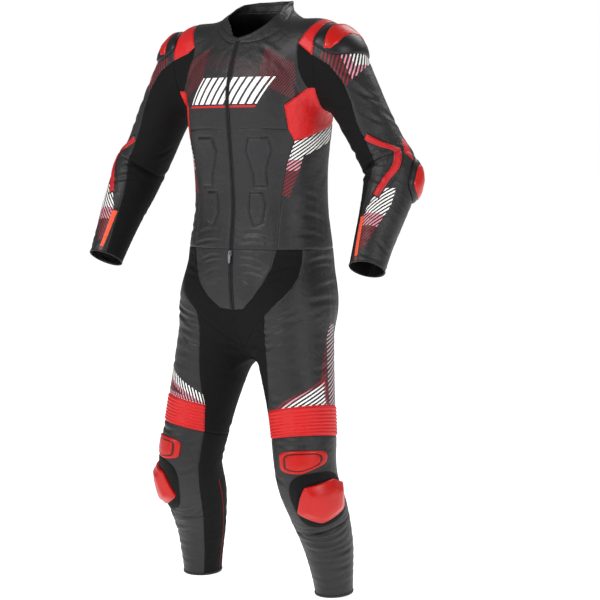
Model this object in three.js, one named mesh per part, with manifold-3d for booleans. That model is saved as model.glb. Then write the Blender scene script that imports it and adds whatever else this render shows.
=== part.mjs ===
// A two-piece leather race suit, standing as it is worn, with nobody in it. Millimetres, +Z up, the
// front faces -Y and the wearer's left is +X. The origin is between the shoulders, at the base of the
// neck, where the wearer's shoulders carry the suit.
//
// Every piece of leather or stretch cloth is a wall on one smooth figure. Seams are curves on that
// figure, two pieces that are sewn together share the same seam, and each keeps half of the gap.

import * as THREE from "three";
import createManifold from "manifold-3d";

const manifold = await createManifold();
manifold.setup();

// Thicknesses, gaps and heights

const WALL = 2;
const GAP = 0.34;
const SEAT_GAP = 0.35;
const WAIST_Z = -556;
const ZIP_HALF = 5;
const SINK = 5;
const RIB = { count: 7, height: 2.6 };

// The figure's sections

const TRUNK = [
  { z: 90, halfWidth: 66, front: 66, back: 76, centreY: 22, power: 2 },
  { z: 50, halfWidth: 68, front: 70, back: 74, centreY: 18, power: 2 },
  { z: 26, halfWidth: 78, front: 76, back: 78, centreY: 13, power: 2 },
  { z: 6, halfWidth: 108, front: 84, back: 88, centreY: 10, power: 2 },
  { z: -18, halfWidth: 158, front: 92, back: 102, centreY: 8, power: 2.1 },
  { z: -56, halfWidth: 182, front: 112, back: 120, centreY: 8, power: 2.2 },
  { z: -110, halfWidth: 186, front: 134, back: 130, centreY: 6, power: 2.4 },
  { z: -180, halfWidth: 188, front: 148, back: 132, centreY: 2, power: 2.5 },
  { z: -260, halfWidth: 184, front: 140, back: 124, centreY: -2, power: 2.5 },
  { z: -360, halfWidth: 174, front: 130, back: 118, centreY: 0, power: 2.4 },
  { z: -460, halfWidth: 174, front: 126, back: 118, centreY: 2, power: 2.4 },
  { z: -560, halfWidth: 188, front: 130, back: 134, centreY: -4, power: 2.4 },
  { z: -650, halfWidth: 192, front: 128, back: 148, centreY: -6, power: 2.4 },
  { z: -720, halfWidth: 186, front: 112, back: 142, centreY: -8, power: 2.3 },
  { z: -780, halfWidth: 134, front: 86, back: 110, centreY: -6, power: 2.2 },
  { z: -830, halfWidth: 60, front: 40, back: 50, centreY: 0, power: 2 },
];

const ARM = [
  { x: 172, y: 2, z: -74, across: 74, foreAft: 86 },
  { x: 218, y: -4, z: -106, across: 74, foreAft: 82 },
  { x: 262, y: -8, z: -170, across: 67, foreAft: 75 },
  { x: 308, y: -8, z: -248, across: 61, foreAft: 70 },
  { x: 346, y: -4, z: -315, across: 60, foreAft: 67 },
  { x: 376, y: -8, z: -362, across: 64, foreAft: 68 },
  { x: 384, y: -32, z: -412, across: 61, foreAft: 64 },
  { x: 387, y: -67, z: -468, across: 54, foreAft: 57 },
  { x: 387, y: -102, z: -526, across: 47, foreAft: 50 },
  { x: 388, y: -130, z: -576, across: 43, foreAft: 45 },
  { x: 389, y: -141, z: -596, across: 42, foreAft: 44 },
];

const LEG = [
  { x: 94, y: -14, z: -700, across: 100, foreAft: 120 },
  { x: 107, y: -20, z: -760, across: 100, foreAft: 114 },
  { x: 126, y: -32, z: -840, across: 92, foreAft: 102 },
  { x: 146, y: -44, z: -930, across: 84, foreAft: 92 },
  { x: 161, y: -54, z: -1010, across: 80, foreAft: 86 },
  { x: 171, y: -64, z: -1075, across: 76, foreAft: 84 },
  { x: 178, y: -58, z: -1130, across: 74, foreAft: 82 },
  { x: 186, y: -24, z: -1200, across: 71, foreAft: 80 },
  { x: 194, y: 4, z: -1280, across: 63, foreAft: 66 },
  { x: 199, y: 14, z: -1340, across: 55, foreAft: 58 },
  { x: 202, y: 20, z: -1396, across: 48, foreAft: 52 },
  { x: 203, y: 22, z: -1440, across: 47, foreAft: 51 },
];

const ARM_BLEND = 50;
const LEG_BLEND = 50;
const CROTCH_BLEND = 30;
const ARM_SPLAY = 10;
const LEG_SPLAY = 15;

const radians = (degrees) => (degrees * Math.PI) / 180;
const vector = (x, y, z) => new THREE.Vector3(x, y, z);
const mix = (a, b, t) => a + (b - a) * t;

// Rounds a table of sections into a finer one, with a smooth curve through each column
function refined(table, steps) {
  const columns = Object.keys(table[0]);
  const last = table.length - 1;
  const out = [];
  for (let i = 0; i < last; i++) {
    const rows = [i - 1, i, i + 1, i + 2].map((k) => table[Math.min(last, Math.max(0, k))]);
    for (let k = 0; k < steps; k++) {
      const t = k / steps;
      const row = {};
      for (const c of columns) {
        const [a, b, d, e] = rows.map((r) => r[c]);
        const linear = (d - a) * t;
        const square = (2 * a - 5 * b + 4 * d - e) * t * t;
        const cube = (3 * b - a - 3 * d + e) * t * t * t;
        row[c] = 0.5 * (2 * b + linear + square + cube);
      }
      out.push(row);
    }
  }
  out.push({ ...table[last] });
  return out;
}

const trunkRows = refined(TRUNK, 5).sort((a, b) => a.z - b.z);

function trunkSection(z) {
  const last = trunkRows.length - 1;
  const at = Math.min(trunkRows[last].z, Math.max(trunkRows[0].z, z));
  let i = 0;
  while (i < last - 1 && trunkRows[i + 1].z < at) i++;
  const low = trunkRows[i];
  const high = trunkRows[i + 1];
  const t = (at - low.z) / (high.z - low.z);
  const row = {};
  for (const c of Object.keys(low)) row[c] = mix(low[c], high[c], t);
  return row;
}

function trunkForm(p) {
  const s = trunkSection(p.z);
  const y = p.y - s.centreY;
  const depth = y < 0 ? s.front : s.back;
  const across = Math.pow(Math.abs(p.x / s.halfWidth), s.power);
  const along = Math.pow(Math.abs(y / depth), s.power);
  const reach = Math.pow(across + along, 1 / s.power);
  const side = (reach - 1) * Math.min(s.halfWidth, depth);
  const top = p.z - trunkRows[trunkRows.length - 1].z;
  const bottom = trunkRows[0].z - p.z;
  return Math.max(side, top, bottom);
}

// A limb's short straight stretches, each with its own frame
function limbStretches(table, splay) {
  const fore = vector(Math.sin(radians(splay)), -Math.cos(radians(splay)), 0);
  const rows = refined(table, 3);
  return rows.slice(0, -1).map((a, i) => {
    const b = rows[i + 1];
    const start = vector(a.x, a.y, a.z);
    const span = vector(b.x, b.y, b.z).sub(start);
    const length = span.length();
    const along = span.clone().divideScalar(length);
    const front = fore.clone().addScaledVector(along, -fore.dot(along)).normalize();
    const side = along.clone().cross(front);
    return { start, length, along, front, side, a, b };
  });
}

const armStretches = limbStretches(ARM, ARM_SPLAY);
const legStretches = limbStretches(LEG, LEG_SPLAY);
const scratch = vector(0, 0, 0);

function limbForm(p, stretches) {
  let nearest = Infinity;
  for (const s of stretches) {
    scratch.subVectors(p, s.start);
    const t = Math.min(1, Math.max(0, scratch.dot(s.along) / s.length));
    scratch.addScaledVector(s.along, -t * s.length);
    const across = mix(s.a.across, s.b.across, t);
    const foreAft = mix(s.a.foreAft, s.b.foreAft, t);
    const small = Math.min(across, foreAft);
    const [u, v, w] = [s.side, s.front, s.along].map((axis) => scratch.dot(axis));
    const reach = Math.hypot(u / across, v / foreAft, w / small);
    nearest = Math.min(nearest, (reach - 1) * small);
  }
  return nearest;
}

function blended(a, b, width) {
  const near = Math.max(width - Math.abs(a - b), 0) / width;
  return Math.min(a, b) - (near * near * width) / 4;
}

const mirrored = vector(0, 0, 0);
const folded = vector(0, 0, 0);
const ARMS_FROM_Z = -720;
const LEGS_FROM_Z = -480;

// Below zero inside the figure, zero on its surface
function form(p) {
  folded.set(Math.abs(p.x), p.y, p.z);
  let f = trunkForm(folded);
  if (p.z > ARMS_FROM_Z) f = blended(f, limbForm(folded, armStretches), ARM_BLEND);
  if (p.z < LEGS_FROM_Z) {
    mirrored.set(-folded.x, p.y, p.z);
    const near = limbForm(folded, legStretches);
    const far = limbForm(mirrored, legStretches);
    f = blended(f, blended(near, far, CROTCH_BLEND), LEG_BLEND);
  }
  return f;
}

function slope(p) {
  const step = 1.5;
  const g = vector(0, 0, 0);
  for (const axis of ["x", "y", "z"]) {
    const high = p.clone();
    const low = p.clone();
    high[axis] += step;
    low[axis] -= step;
    g[axis] = (form(high) - form(low)) / (2 * step);
  }
  return g;
}

function settled(point) {
  const p = point.clone();
  for (let i = 0; i < 12; i++) {
    const f = form(p);
    if (Math.abs(f) < 0.005) break;
    const g = slope(p);
    p.addScaledVector(g, -f / Math.max(g.lengthSq(), 0.05));
  }
  return p;
}

function cast(origin, direction, reach = 260) {
  const step = 6;
  let inside = 0;
  const at = (t) => origin.clone().addScaledVector(direction, t);
  while (inside < reach && form(at(inside + step)) < 0) inside += step;
  let outside = inside + step;
  for (let i = 0; i < 14; i++) {
    const middle = (inside + outside) / 2;
    if (form(at(middle)) < 0) inside = middle;
    else outside = middle;
  }
  return at((inside + outside) / 2);
}

// Places on the figure: a turn is in degrees, from the front towards the wearer's left

function onTrunk(turn, z) {
  const origin = vector(0, trunkSection(z).centreY, z);
  return cast(origin, vector(Math.sin(radians(turn)), -Math.cos(radians(turn)), 0));
}

// A limb's place: along counts the rows of its table, and turn goes from its front to its outer side
function limbPlaces(table, splay) {
  const steps = 8;
  const rows = refined(table, steps);
  const middle = (at) => {
    const i = Math.min(rows.length - 2, Math.max(0, Math.floor(at)));
    const [a, b] = [rows[i], rows[i + 1]].map((r) => vector(r.x, r.y, r.z));
    return a.lerp(b, at - i);
  };
  return (along, turn) => {
    const at = along * steps;
    const axis = middle(at + 1).sub(middle(at - 1)).normalize();
    const fore = vector(Math.sin(radians(splay)), -Math.cos(radians(splay)), 0);
    const front = fore.addScaledVector(axis, -fore.dot(axis)).normalize();
    const outer = front.clone().cross(axis).normalize();
    if (outer.x < 0) outer.negate();
    const direction = front.multiplyScalar(Math.cos(radians(turn)));
    direction.addScaledVector(outer, Math.sin(radians(turn)));
    return cast(middle(at), direction, 180);
  };
}

const onArm = limbPlaces(ARM, ARM_SPLAY);
const onLeg = limbPlaces(LEG, LEG_SPLAY);

// The armhole lies in a plane that leans in at the top: turn 0 is the shoulder's top, 90 its front
const ARMHOLE = { x: 205, y: 2, z: -96, lean: -3 };

function onArmhole(turn) {
  const up = vector(-Math.sin(radians(ARMHOLE.lean)), 0, Math.cos(radians(ARMHOLE.lean)));
  const direction = up.multiplyScalar(Math.cos(radians(turn)));
  direction.y -= Math.sin(radians(turn));
  return cast(vector(ARMHOLE.x, ARMHOLE.y, ARMHOLE.z), direction, 200);
}

// Seams: each is a row of stations, a point on the figure with its wall's inner point

function station(point, onCentre) {
  const outer = settled(point);
  if (onCentre !== undefined) outer.x = onCentre;
  const normal = slope(outer).normalize();
  if (onCentre !== undefined) normal.x = 0;
  normal.normalize();
  return { outer, inner: outer.clone().addScaledVector(normal, -WALL) };
}

// A seam through these places, in this many straight stretches. onCentre holds it at one x
function seam(anchors, count, onCentre) {
  const [first, second] = anchors;
  const curve =
    anchors.length === 2
      ? new THREE.LineCurve3(first, second)
      : new THREE.CatmullRomCurve3(anchors, false, "centripetal");
  return curve.getSpacedPoints(count).map((p) => station(p, onCentre));
}

const back = (edge) => [...edge].reverse();
const joined = (...edges) => edges.flatMap((edge, i) => (i ? edge.slice(1) : edge));

// Adds stations on an edge's own straight stretches, so that the edge keeps its shape
function withCount(edge, count) {
  const out = [...edge];
  while (out.length - 1 < count) {
    let longest = 0;
    for (let i = 1; i < out.length - 1; i++) {
      const here = out[i].outer.distanceTo(out[i + 1].outer);
      if (here > out[longest].outer.distanceTo(out[longest + 1].outer)) longest = i;
    }
    const a = out[longest];
    const b = out[longest + 1];
    out.splice(longest + 1, 0, {
      outer: a.outer.clone().lerp(b.outer, 0.5),
      inner: a.inner.clone().lerp(b.inner, 0.5),
    });
  }
  return out;
}

function shares(edge) {
  const out = [0];
  for (let i = 1; i < edge.length; i++) out.push(out[i - 1] + edge[i].outer.distanceTo(edge[i - 1].outer));
  return out.map((s) => s / out[out.length - 1]);
}

// Moves places whose cells are folded or thin until every cell is open. How open a cell is runs from
// 0 for a folded one to nearly 1 for a square one
const OPEN_CELL = 0.25;
const OPENING_STEPS = [12, 6, 3];
const OPENING_WAYS = 8;

function evenOut(grid, rows, columns) {
  const at = (i, j) => grid[i][j].outer;
  const facing = (a, b, c, out) => {
    const [u, v, w] = [b.clone().sub(a), c.clone().sub(a), c.clone().sub(b)];
    return u.clone().cross(v).dot(out) / Math.max(u.lengthSq(), v.lengthSq(), w.lengthSq());
  };
  const outAt = (p) => slope(p).normalize();
  const middle = [Math.floor(rows / 2), Math.floor(columns / 2)];
  const [a, b, c] = [at(...middle), at(middle[0] + 1, middle[1]), at(middle[0] + 1, middle[1] + 1)];
  const turn = Math.sign(facing(a, b, c, outAt(a)));
  const worst = (i, j) => {
    const out = outAt(at(i, j));
    let least = Infinity;
    for (const [y, x] of [[i - 1, j - 1], [i - 1, j], [i, j - 1], [i, j]]) {
      const [p, q, r, s] = [at(y, x), at(y + 1, x), at(y + 1, x + 1), at(y, x + 1)];
      least = Math.min(least, turn * facing(p, q, r, out), turn * facing(p, r, s, out));
    }
    return least;
  };
  for (let pass = 0; pass < 8; pass++) {
    for (let i = 1; i < rows; i++) {
      for (let j = 1; j < columns; j++) {
        if (worst(i, j) > OPEN_CELL) continue;
        for (const step of OPENING_STEPS) {
          for (let k = 0; k < OPENING_WAYS; k++) {
            const here = at(i, j);
            const before = worst(i, j);
            const out = outAt(here);
            const across = out.clone().cross(vector(0.3, 0.4, 0.86)).normalize();
            const along = out.clone().cross(across);
            const angle = (2 * Math.PI * k) / OPENING_WAYS;
            const moved = here
              .clone()
              .addScaledVector(across, step * Math.cos(angle))
              .addScaledVector(along, step * Math.sin(angle));
            grid[i][j].outer = settled(moved);
            if (worst(i, j) <= before) grid[i][j].outer = here;
          }
        }
      }
    }
  }
}

// Fills four edges with a grid on the figure: left and right run down, top and bottom run left to right
function filled({ top, bottom, left, right }, least = { rows: 1, columns: 1 }) {
  const rows = Math.max(left.length - 1, right.length - 1, least.rows);
  const columns = Math.max(top.length - 1, bottom.length - 1, least.columns);
  const [l, r] = [left, right].map((e) => withCount(e, rows));
  const [t, b] = [top, bottom].map((e) => withCount(e, columns));
  const [ls, rs, ts, bs] = [l, r, t, b].map(shares);
  const grid = [];
  for (let i = 0; i <= rows; i++) {
    grid.push([]);
    for (let j = 0; j <= columns; j++) {
      const u = mix(ts[j], bs[j], i / rows);
      const v = mix(ls[i], rs[i], j / columns);
      const p = vector(0, 0, 0)
        .addScaledVector(t[j].outer, 1 - v)
        .addScaledVector(b[j].outer, v)
        .addScaledVector(l[i].outer, 1 - u)
        .addScaledVector(r[i].outer, u)
        .addScaledVector(l[0].outer, -(1 - u) * (1 - v))
        .addScaledVector(r[0].outer, -u * (1 - v))
        .addScaledVector(l[rows].outer, -(1 - u) * v)
        .addScaledVector(r[rows].outer, -u * v);
      grid[i].push({ outer: p });
    }
  }
  for (let i = 0; i <= rows; i++) {
    grid[i][0] = l[i];
    grid[i][columns] = r[i];
  }
  for (let j = 0; j <= columns; j++) {
    grid[0][j] = t[j];
    grid[rows][j] = b[j];
  }
  const inside = (act) => {
    for (let i = 1; i < rows; i++) for (let j = 1; j < columns; j++) act(i, j);
  };
  inside((i, j) => (grid[i][j].outer = settled(grid[i][j].outer)));
  for (let pass = 0; pass < 12; pass++) {
    inside((i, j) => {
      const around = [grid[i - 1][j], grid[i + 1][j], grid[i][j - 1], grid[i][j + 1]];
      const middle = around.reduce((sum, s) => sum.add(s.outer), vector(0, 0, 0)).divideScalar(4);
      grid[i][j].outer = settled(grid[i][j].outer.clone().lerp(middle, 0.5));
    });
  }
  evenOut(grid, rows, columns);
  inside((i, j) => {
    const s = grid[i][j];
    s.inner = s.outer.clone().addScaledVector(slope(s.outer).normalize(), -WALL);
  });
  return grid;
}

// The four edges of a grid as rows of places, each in order
function edgePlaces(grid) {
  const rows = grid.length - 1;
  const columns = grid[0].length - 1;
  const down = (j) => grid.map((_, i) => [i, j]);
  const across = (i) => grid[0].map((_, j) => [i, j]);
  return [
    { places: across(0), inward: [1, 0] },
    { places: across(rows), inward: [-1, 0] },
    { places: down(0), inward: [0, 1] },
    { places: down(columns), inward: [0, -1] },
  ];
}

// Draws a grid's edges in by half of the seam gap, square to each edge and mitred at the corners
function drawnIn(grid, gap = GAP / 2) {
  const out = grid.map((row) => row.map((s) => ({ outer: s.outer.clone(), inner: s.inner.clone() })));
  const squares = grid.map((row) => row.map(() => []));
  for (const { places, inward } of edgePlaces(grid)) {
    for (let k = 1; k < places.length; k++) {
      const [a, b] = [places[k - 1], places[k]].map(([i, j]) => grid[i][j]);
      const [c, d] = [places[k - 1], places[k]].map(([i, j]) => grid[i + inward[0]][j + inward[1]]);
      const run = b.outer.clone().sub(a.outer);
      const depth = a.outer.clone().sub(a.inner).add(b.outer).sub(b.inner);
      const square = run.cross(depth).normalize();
      const towards = c.outer.clone().add(d.outer).sub(a.outer).sub(b.outer);
      if (square.dot(towards) < 0) square.negate();
      for (const [i, j] of [places[k - 1], places[k]]) squares[i][j].push(square);
    }
  }
  squares.forEach((row, i) =>
    row.forEach((around, j) => {
      if (!around.length) return;
      const first = around[0];
      const last = around[around.length - 1];
      const bend = Math.max(1 + first.dot(last), 0.25);
      const move = first.clone().add(last).multiplyScalar(gap / bend);
      out[i][j].outer.add(move);
      out[i][j].inner.add(move);
    }),
  );
  return out;
}

// A closed wall from a grid: its outer face, its inner face and its four edges
function wallGeometry(grid) {
  const rows = grid.length;
  const columns = grid[0].length;
  const positions = [];
  for (const side of ["outer", "inner"]) {
    for (const row of grid) for (const s of row) positions.push(s[side].x, s[side].y, s[side].z);
  }
  const outer = (i, j) => i * columns + j;
  const inner = (i, j) => rows * columns + i * columns + j;
  const index = [];
  const quad = (a, b, c, d) => index.push(a, b, c, a, c, d);
  for (let i = 0; i < rows - 1; i++) {
    for (let j = 0; j < columns - 1; j++) {
      quad(outer(i, j), outer(i + 1, j), outer(i + 1, j + 1), outer(i, j + 1));
      quad(inner(i, j), inner(i, j + 1), inner(i + 1, j + 1), inner(i + 1, j));
    }
  }
  for (let j = 0; j < columns - 1; j++) {
    quad(outer(0, j), outer(0, j + 1), inner(0, j + 1), inner(0, j));
    quad(outer(rows - 1, j + 1), outer(rows - 1, j), inner(rows - 1, j), inner(rows - 1, j + 1));
  }
  for (let i = 0; i < rows - 1; i++) {
    quad(outer(i + 1, 0), outer(i, 0), inner(i, 0), inner(i + 1, 0));
    const last = columns - 1;
    quad(outer(i, last), outer(i + 1, last), inner(i + 1, last), inner(i, last));
  }
  const geometry = new THREE.BufferGeometry();
  geometry.setAttribute("position", new THREE.Float32BufferAttribute(positions, 3));
  const a = grid[0][0].outer;
  const facing = grid[1][0].outer.clone().sub(a).cross(grid[0][1].outer.clone().sub(a));
  const outwards = grid[0][0].outer.clone().sub(grid[0][0].inner);
  if (facing.dot(outwards) < 0) {
    for (let k = 0; k < index.length; k += 3) [index[k + 1], index[k + 2]] = [index[k + 2], index[k + 1]];
  }
  geometry.setIndex(index);
  geometry.computeVertexNormals();
  return geometry;
}

const mirroredGrid = (grid) =>
  grid.map((row) =>
    row.map((s) => ({
      outer: vector(-s.outer.x, s.outer.y, s.outer.z),
      inner: vector(-s.inner.x, s.inner.y, s.inner.z),
    })),
  );

// On the wearer's right the neck seam and the strap's inner seam lie nearer the collar than on the
// left. Stations there move in by up to this much, and less towards the places named
const RIGHT_SHIFT = {
  most: 30,
  fromX: 0,
  fullX: 75,
  keptX: 188,
  noneX: 204,
  fullLowZ: -80,
  noneLowZ: -165,
  fullHighZ: -15,
  noneHighZ: 22,
  fullY: -40,
  noneY: -4,
  least: 0.4,
};

function rightShift(p) {
  if (p.x >= 0) return 0;
  const k = RIGHT_SHIFT;
  const { smoothstep } = THREE.MathUtils;
  const across = smoothstep(-p.x, k.fromX, k.fullX) * (1 - smoothstep(-p.x, k.keptX, k.noneX));
  const up = smoothstep(p.z, k.noneLowZ, k.fullLowZ) * (1 - smoothstep(p.z, k.fullHighZ, k.noneHighZ));
  return k.most * across * up * (1 - smoothstep(p.y, k.fullY, k.noneY));
}

const shifted = (edge) => edge.some((s) => rightShift(s.outer) > RIGHT_SHIFT.least);

// The right piece's grid: the left one's mirrored, or a new one where its edges move
function rightGrid(grid, edges, least) {
  const mirroredEdges = {};
  for (const [side, edge] of Object.entries(edges)) mirroredEdges[side] = mirroredGrid([edge])[0];
  if (!Object.values(mirroredEdges).some(shifted)) return mirroredGrid(grid);
  for (const [side, edge] of Object.entries(mirroredEdges)) {
    mirroredEdges[side] = edge.map((s) => {
      const shift = rightShift(s.outer);
      return shift > RIGHT_SHIFT.least ? station(s.outer.clone().setX(s.outer.x + shift)) : s;
    });
  }
  return filled(mirroredEdges, least);
}

// Materials

const leather = (color, roughness) => new THREE.MeshStandardMaterial({ color, roughness, metalness: 0 });
const blackLeather = leather(0x1b1b1c, 0.5);
const stretchCloth = leather(0x0b0b0c, 0.85);
const redLeather = leather(0xd0181a, 0.5);
const redPlastic = leather(0xc8151a, 0.3);
const blackPlastic = leather(0x121213, 0.45);
const zipCloth = leather(0x0d0d0e, 0.7);

const suit = new THREE.Group();

function add(name, geometry, material) {
  const mesh = new THREE.Mesh(geometry, material);
  mesh.name = name;
  suit.add(mesh);
}

// A left piece and its right one
function pair(name, edges, material, { least, worked = (grid) => grid } = {}) {
  const grid = worked(filled(edges, least));
  for (const [side, shape] of [["left", grid], ["right", rightGrid(grid, edges, least)]]) {
    add(name + "_" + side, wallGeometry(drawnIn(shape)), material);
  }
  return grid;
}

// One piece across the back: its right edge is the centre line, where the two halves join
function whole(name, edges, material, least) {
  const grid = filled(edges, least);
  const right = rightGrid(grid, edges, least);
  const rows = grid.map((row, i) => [...row, ...[...right[i]].reverse().slice(1)]);
  add(name, wallGeometry(drawnIn(rows)), material);
  return grid;
}

// The armhole's stations all round, which the body and the sleeve share

const FRONT_TURNS = [0, 22, 44, 66, 88, 104, 120, 136, 158];
const REAR_TURNS = [180, 202, 224, 240, 256, 272, 294, 316, 338, 360];
const ARMHOLE_TURNS = [...FRONT_TURNS, ...REAR_TURNS];
const armholeLoop = ARMHOLE_TURNS.map((turn) => station(onArmhole(turn)));
const armholePart = (from, to) => {
  const [first, last] = [from, to].map((turn) => ARMHOLE_TURNS.indexOf(turn));
  return armholeLoop.slice(first, last + 1);
};
const armholeAt = (turn) => armholePart(turn, turn)[0].outer;

// The waist's stations, which the jacket and the trousers share

const WAIST_TURNS = [0, 16, 32, 48, 58, 68, 82, 96, 110, 128, 146, 163, 180];
const WAIST_CENTRE = WAIST_TURNS.length - 1;
const onZip = (z) => {
  const p = onTrunk(0, z);
  return settled(vector(ZIP_HALF, p.y, p.z));
};
const waistRing = WAIST_TURNS.map((turn, i) => {
  if (i === 0) return station(onZip(WAIST_Z), ZIP_HALF);
  return station(onTrunk(turn, WAIST_Z), i === WAIST_CENTRE ? 0 : undefined);
});
const waistPart = (from, to) => {
  const [first, last] = [from, to].map((turn) => WAIST_TURNS.indexOf(turn));
  return waistRing.slice(first, last + 1);
};
const waistAt = (turn) => waistPart(turn, turn)[0].outer;

// Jacket seams on the trunk, from the front edge round to the back

const CHEST_Z = -268;
const BACK_SEAM_Z = -240;
const SIDE_SEAM_TURN = 110;

// Where seams meet or pass on the body's left half
const BODY_PLACES = {
  shoulderTop: [135, 6, -2],
  strapTop: [188, 2, -12],
  strapFrontMiddle: [187, -50, -24],
  strapFront: [167, -89, -63],
  strapBackMiddle: [187, 54, -24],
  strapBack: [167, 96, -63],
  chestEdgeUpper: [166, -93, -103],
  chestEdgeLower: [171, -86, -139],
  chestCorner: [184, -71, -169],
  sideCorner: [142, -111, -210],
  chestEnd: [147, -100, CHEST_Z],
  redLow: [156, -86, -296],
  sideUpper: [140, -94, -350],
  sideMiddle: [128, -97, -412],
  sideLower: [122, -102, -480],
  hipUpper: [171, -82, -604],
  hipLower: [159, -113, -651],
  groinFront: [101, -138, -712],
  groinBelow: [96, -134, -760],
  groinBack: [48, 66, -790],
};
const at = (name) => settled(vector(...BODY_PLACES[name]));

// The neck seam and the collar's rim, by turn
const NECKLINE = [
  { turn: 0, seamZ: -57, rimZ: -46 },
  { turn: 18, seamZ: -57, rimZ: -37 },
  { turn: 36, seamZ: -49, rimZ: -18 },
  { turn: 53, seamZ: -24, rimZ: 8 },
  { turn: 72, seamZ: 8, rimZ: 32 },
  { turn: 97, seamZ: 25, rimZ: 45 },
  { turn: 135, seamZ: 30, rimZ: 53 },
  { turn: 180, seamZ: 30, rimZ: 56 },
];
const neckRing = NECKLINE.map((row) => onTrunk(row.turn, row.seamZ));
const rimRing = NECKLINE.map((row) => onTrunk(row.turn, row.rimZ));
const [NECK_FRONT, NECK_REAR] = [NECKLINE[0], NECKLINE[NECKLINE.length - 1]];

const frontUpper = seam([onZip(NECK_FRONT.seamZ), onZip(-120), onZip(-200), onZip(CHEST_Z)], 5, ZIP_HALF);
const frontLower = seam([onZip(CHEST_Z), onZip(-360), onZip(-460), waistRing[0].outer], 6, ZIP_HALF);
const neckFront = seam([frontUpper[0].outer, ...neckRing.slice(1, 6)], 8);
const neckRear = seam(neckRing.slice(5), 4);
neckRear[neckRear.length - 1] = station(neckRing[7], 0);

// The red strap lies over the shoulder's top, between the body and the sleeve
const shoulderSeam = seam([neckRing[5], at("shoulderTop"), at("strapTop")], 4);
const strapInnerFront = seam([at("strapTop"), at("strapFrontMiddle"), at("strapFront")], 3);
const strapInnerBack = seam([at("strapTop"), at("strapBackMiddle"), at("strapBack")], 3);
const strapEndFront = seam([at("strapFront"), armholeAt(88)], 2);
const strapEndBack = seam([at("strapBack"), armholeAt(272)], 2);

const redBack = onTrunk(SIDE_SEAM_TURN, -250);
const chestEdge = seam(["strapFront", "chestEdgeUpper", "chestEdgeLower", "chestCorner"].map(at), 4);
const redFrontUpper = seam([at("chestCorner"), at("sideCorner")], 3);
const redFrontMiddle = seam([at("sideCorner"), at("chestEnd")], 2);
const redFrontLower = seam([at("chestEnd"), at("redLow")], 1);
const chestUnder = seam([at("chestCorner"), armholeAt(136)], 2);
const redHem = seam([at("redLow"), onTrunk(82, -276), redBack], 4);
const redRear = seam([armholeAt(224), redBack], 3);
const chestSeam = seam([frontLower[0].outer, onTrunk(27, CHEST_Z + 4), at("chestEnd")], 5);
const sideFront = seam([...["redLow", "sideUpper", "sideMiddle", "sideLower"].map(at), waistAt(48)], 5);
const sideRear = seam([redBack, onTrunk(108, -360), onTrunk(108, -460), waistAt(110)], 6);
const backSeam = seam([redBack, onTrunk(146, -242), onTrunk(180, BACK_SEAM_Z)], 4);
backSeam[backSeam.length - 1] = station(onTrunk(180, BACK_SEAM_Z), 0);
const spine = [-80, -170, BACK_SEAM_Z].map((z) => onTrunk(180, z));
const centreBack = seam([neckRing[7], ...spine], 6, 0);
const centreBackLow = seam([onTrunk(180, BACK_SEAM_Z), onTrunk(180, -400), onTrunk(180, WAIST_Z)], 6, 0);

// Jacket body: leather fronts, a stretch piece at each shoulder, red sides and a plain back

pair(
  "chest",
  {
    top: shoulderSeam,
    left: joined(back(neckFront), frontUpper),
    right: joined(strapInnerFront, chestEdge, redFrontUpper, redFrontMiddle),
    bottom: chestSeam,
  },
  blackLeather,
);
pair(
  "abdomen",
  { top: chestSeam, left: frontLower, right: joined(redFrontLower, sideFront), bottom: waistPart(0, 48) },
  blackLeather,
);
pair(
  "front_stretch",
  { top: strapEndFront, left: chestEdge, right: armholePart(88, 136), bottom: chestUnder },
  stretchCloth,
);
const strapGrid = pair(
  "shoulder_strap",
  {
    top: back(strapEndFront),
    left: back(joined(armholePart(272, 360), armholePart(0, 88))),
    right: joined(back(strapInnerFront), strapInnerBack),
    bottom: back(strapEndBack),
  },
  redLeather,
);
pair(
  "side_red",
  {
    top: joined(chestUnder, armholePart(136, 224)),
    left: joined(redFrontUpper, redFrontMiddle, redFrontLower),
    right: redRear,
    bottom: redHem,
  },
  redLeather,
);
pair(
  "side_lower",
  { top: redHem, left: sideFront, right: sideRear, bottom: waistPart(48, 110) },
  blackLeather,
);
whole(
  "back_upper",
  {
    top: joined(back(shoulderSeam), neckRear),
    left: joined(strapInnerBack, strapEndBack, back(armholePart(224, 272)), redRear),
    right: centreBack,
    bottom: backSeam,
  },
  blackLeather,
);
whole(
  "back_lower",
  { top: backSeam, left: sideRear, right: centreBackLow, bottom: waistPart(110, 180) },
  blackLeather,
);

// Stand collar: one band from the zip round the neck and back to it

const collarFront = seam([frontUpper[0].outer, onZip(NECK_FRONT.rimZ)], 1, ZIP_HALF);
const collarBack = seam([neckRing[7], rimRing[7]], 2, 0);
const collarTop = [
  ...seam([collarFront[1].outer, ...rimRing.slice(1, 6)], 8),
  ...seam(rimRing.slice(5), 4).slice(1),
];
collarTop[collarTop.length - 1] = station(rimRing[7], 0);

whole(
  "collar",
  { top: collarTop, left: back(collarFront), right: back(collarBack), bottom: joined(neckFront, neckRear) },
  blackLeather,
);

// Sleeves: leather outside, stretch cloth inside, joined at the elbow. A turn goes from the arm's
// front to its outer side

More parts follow.
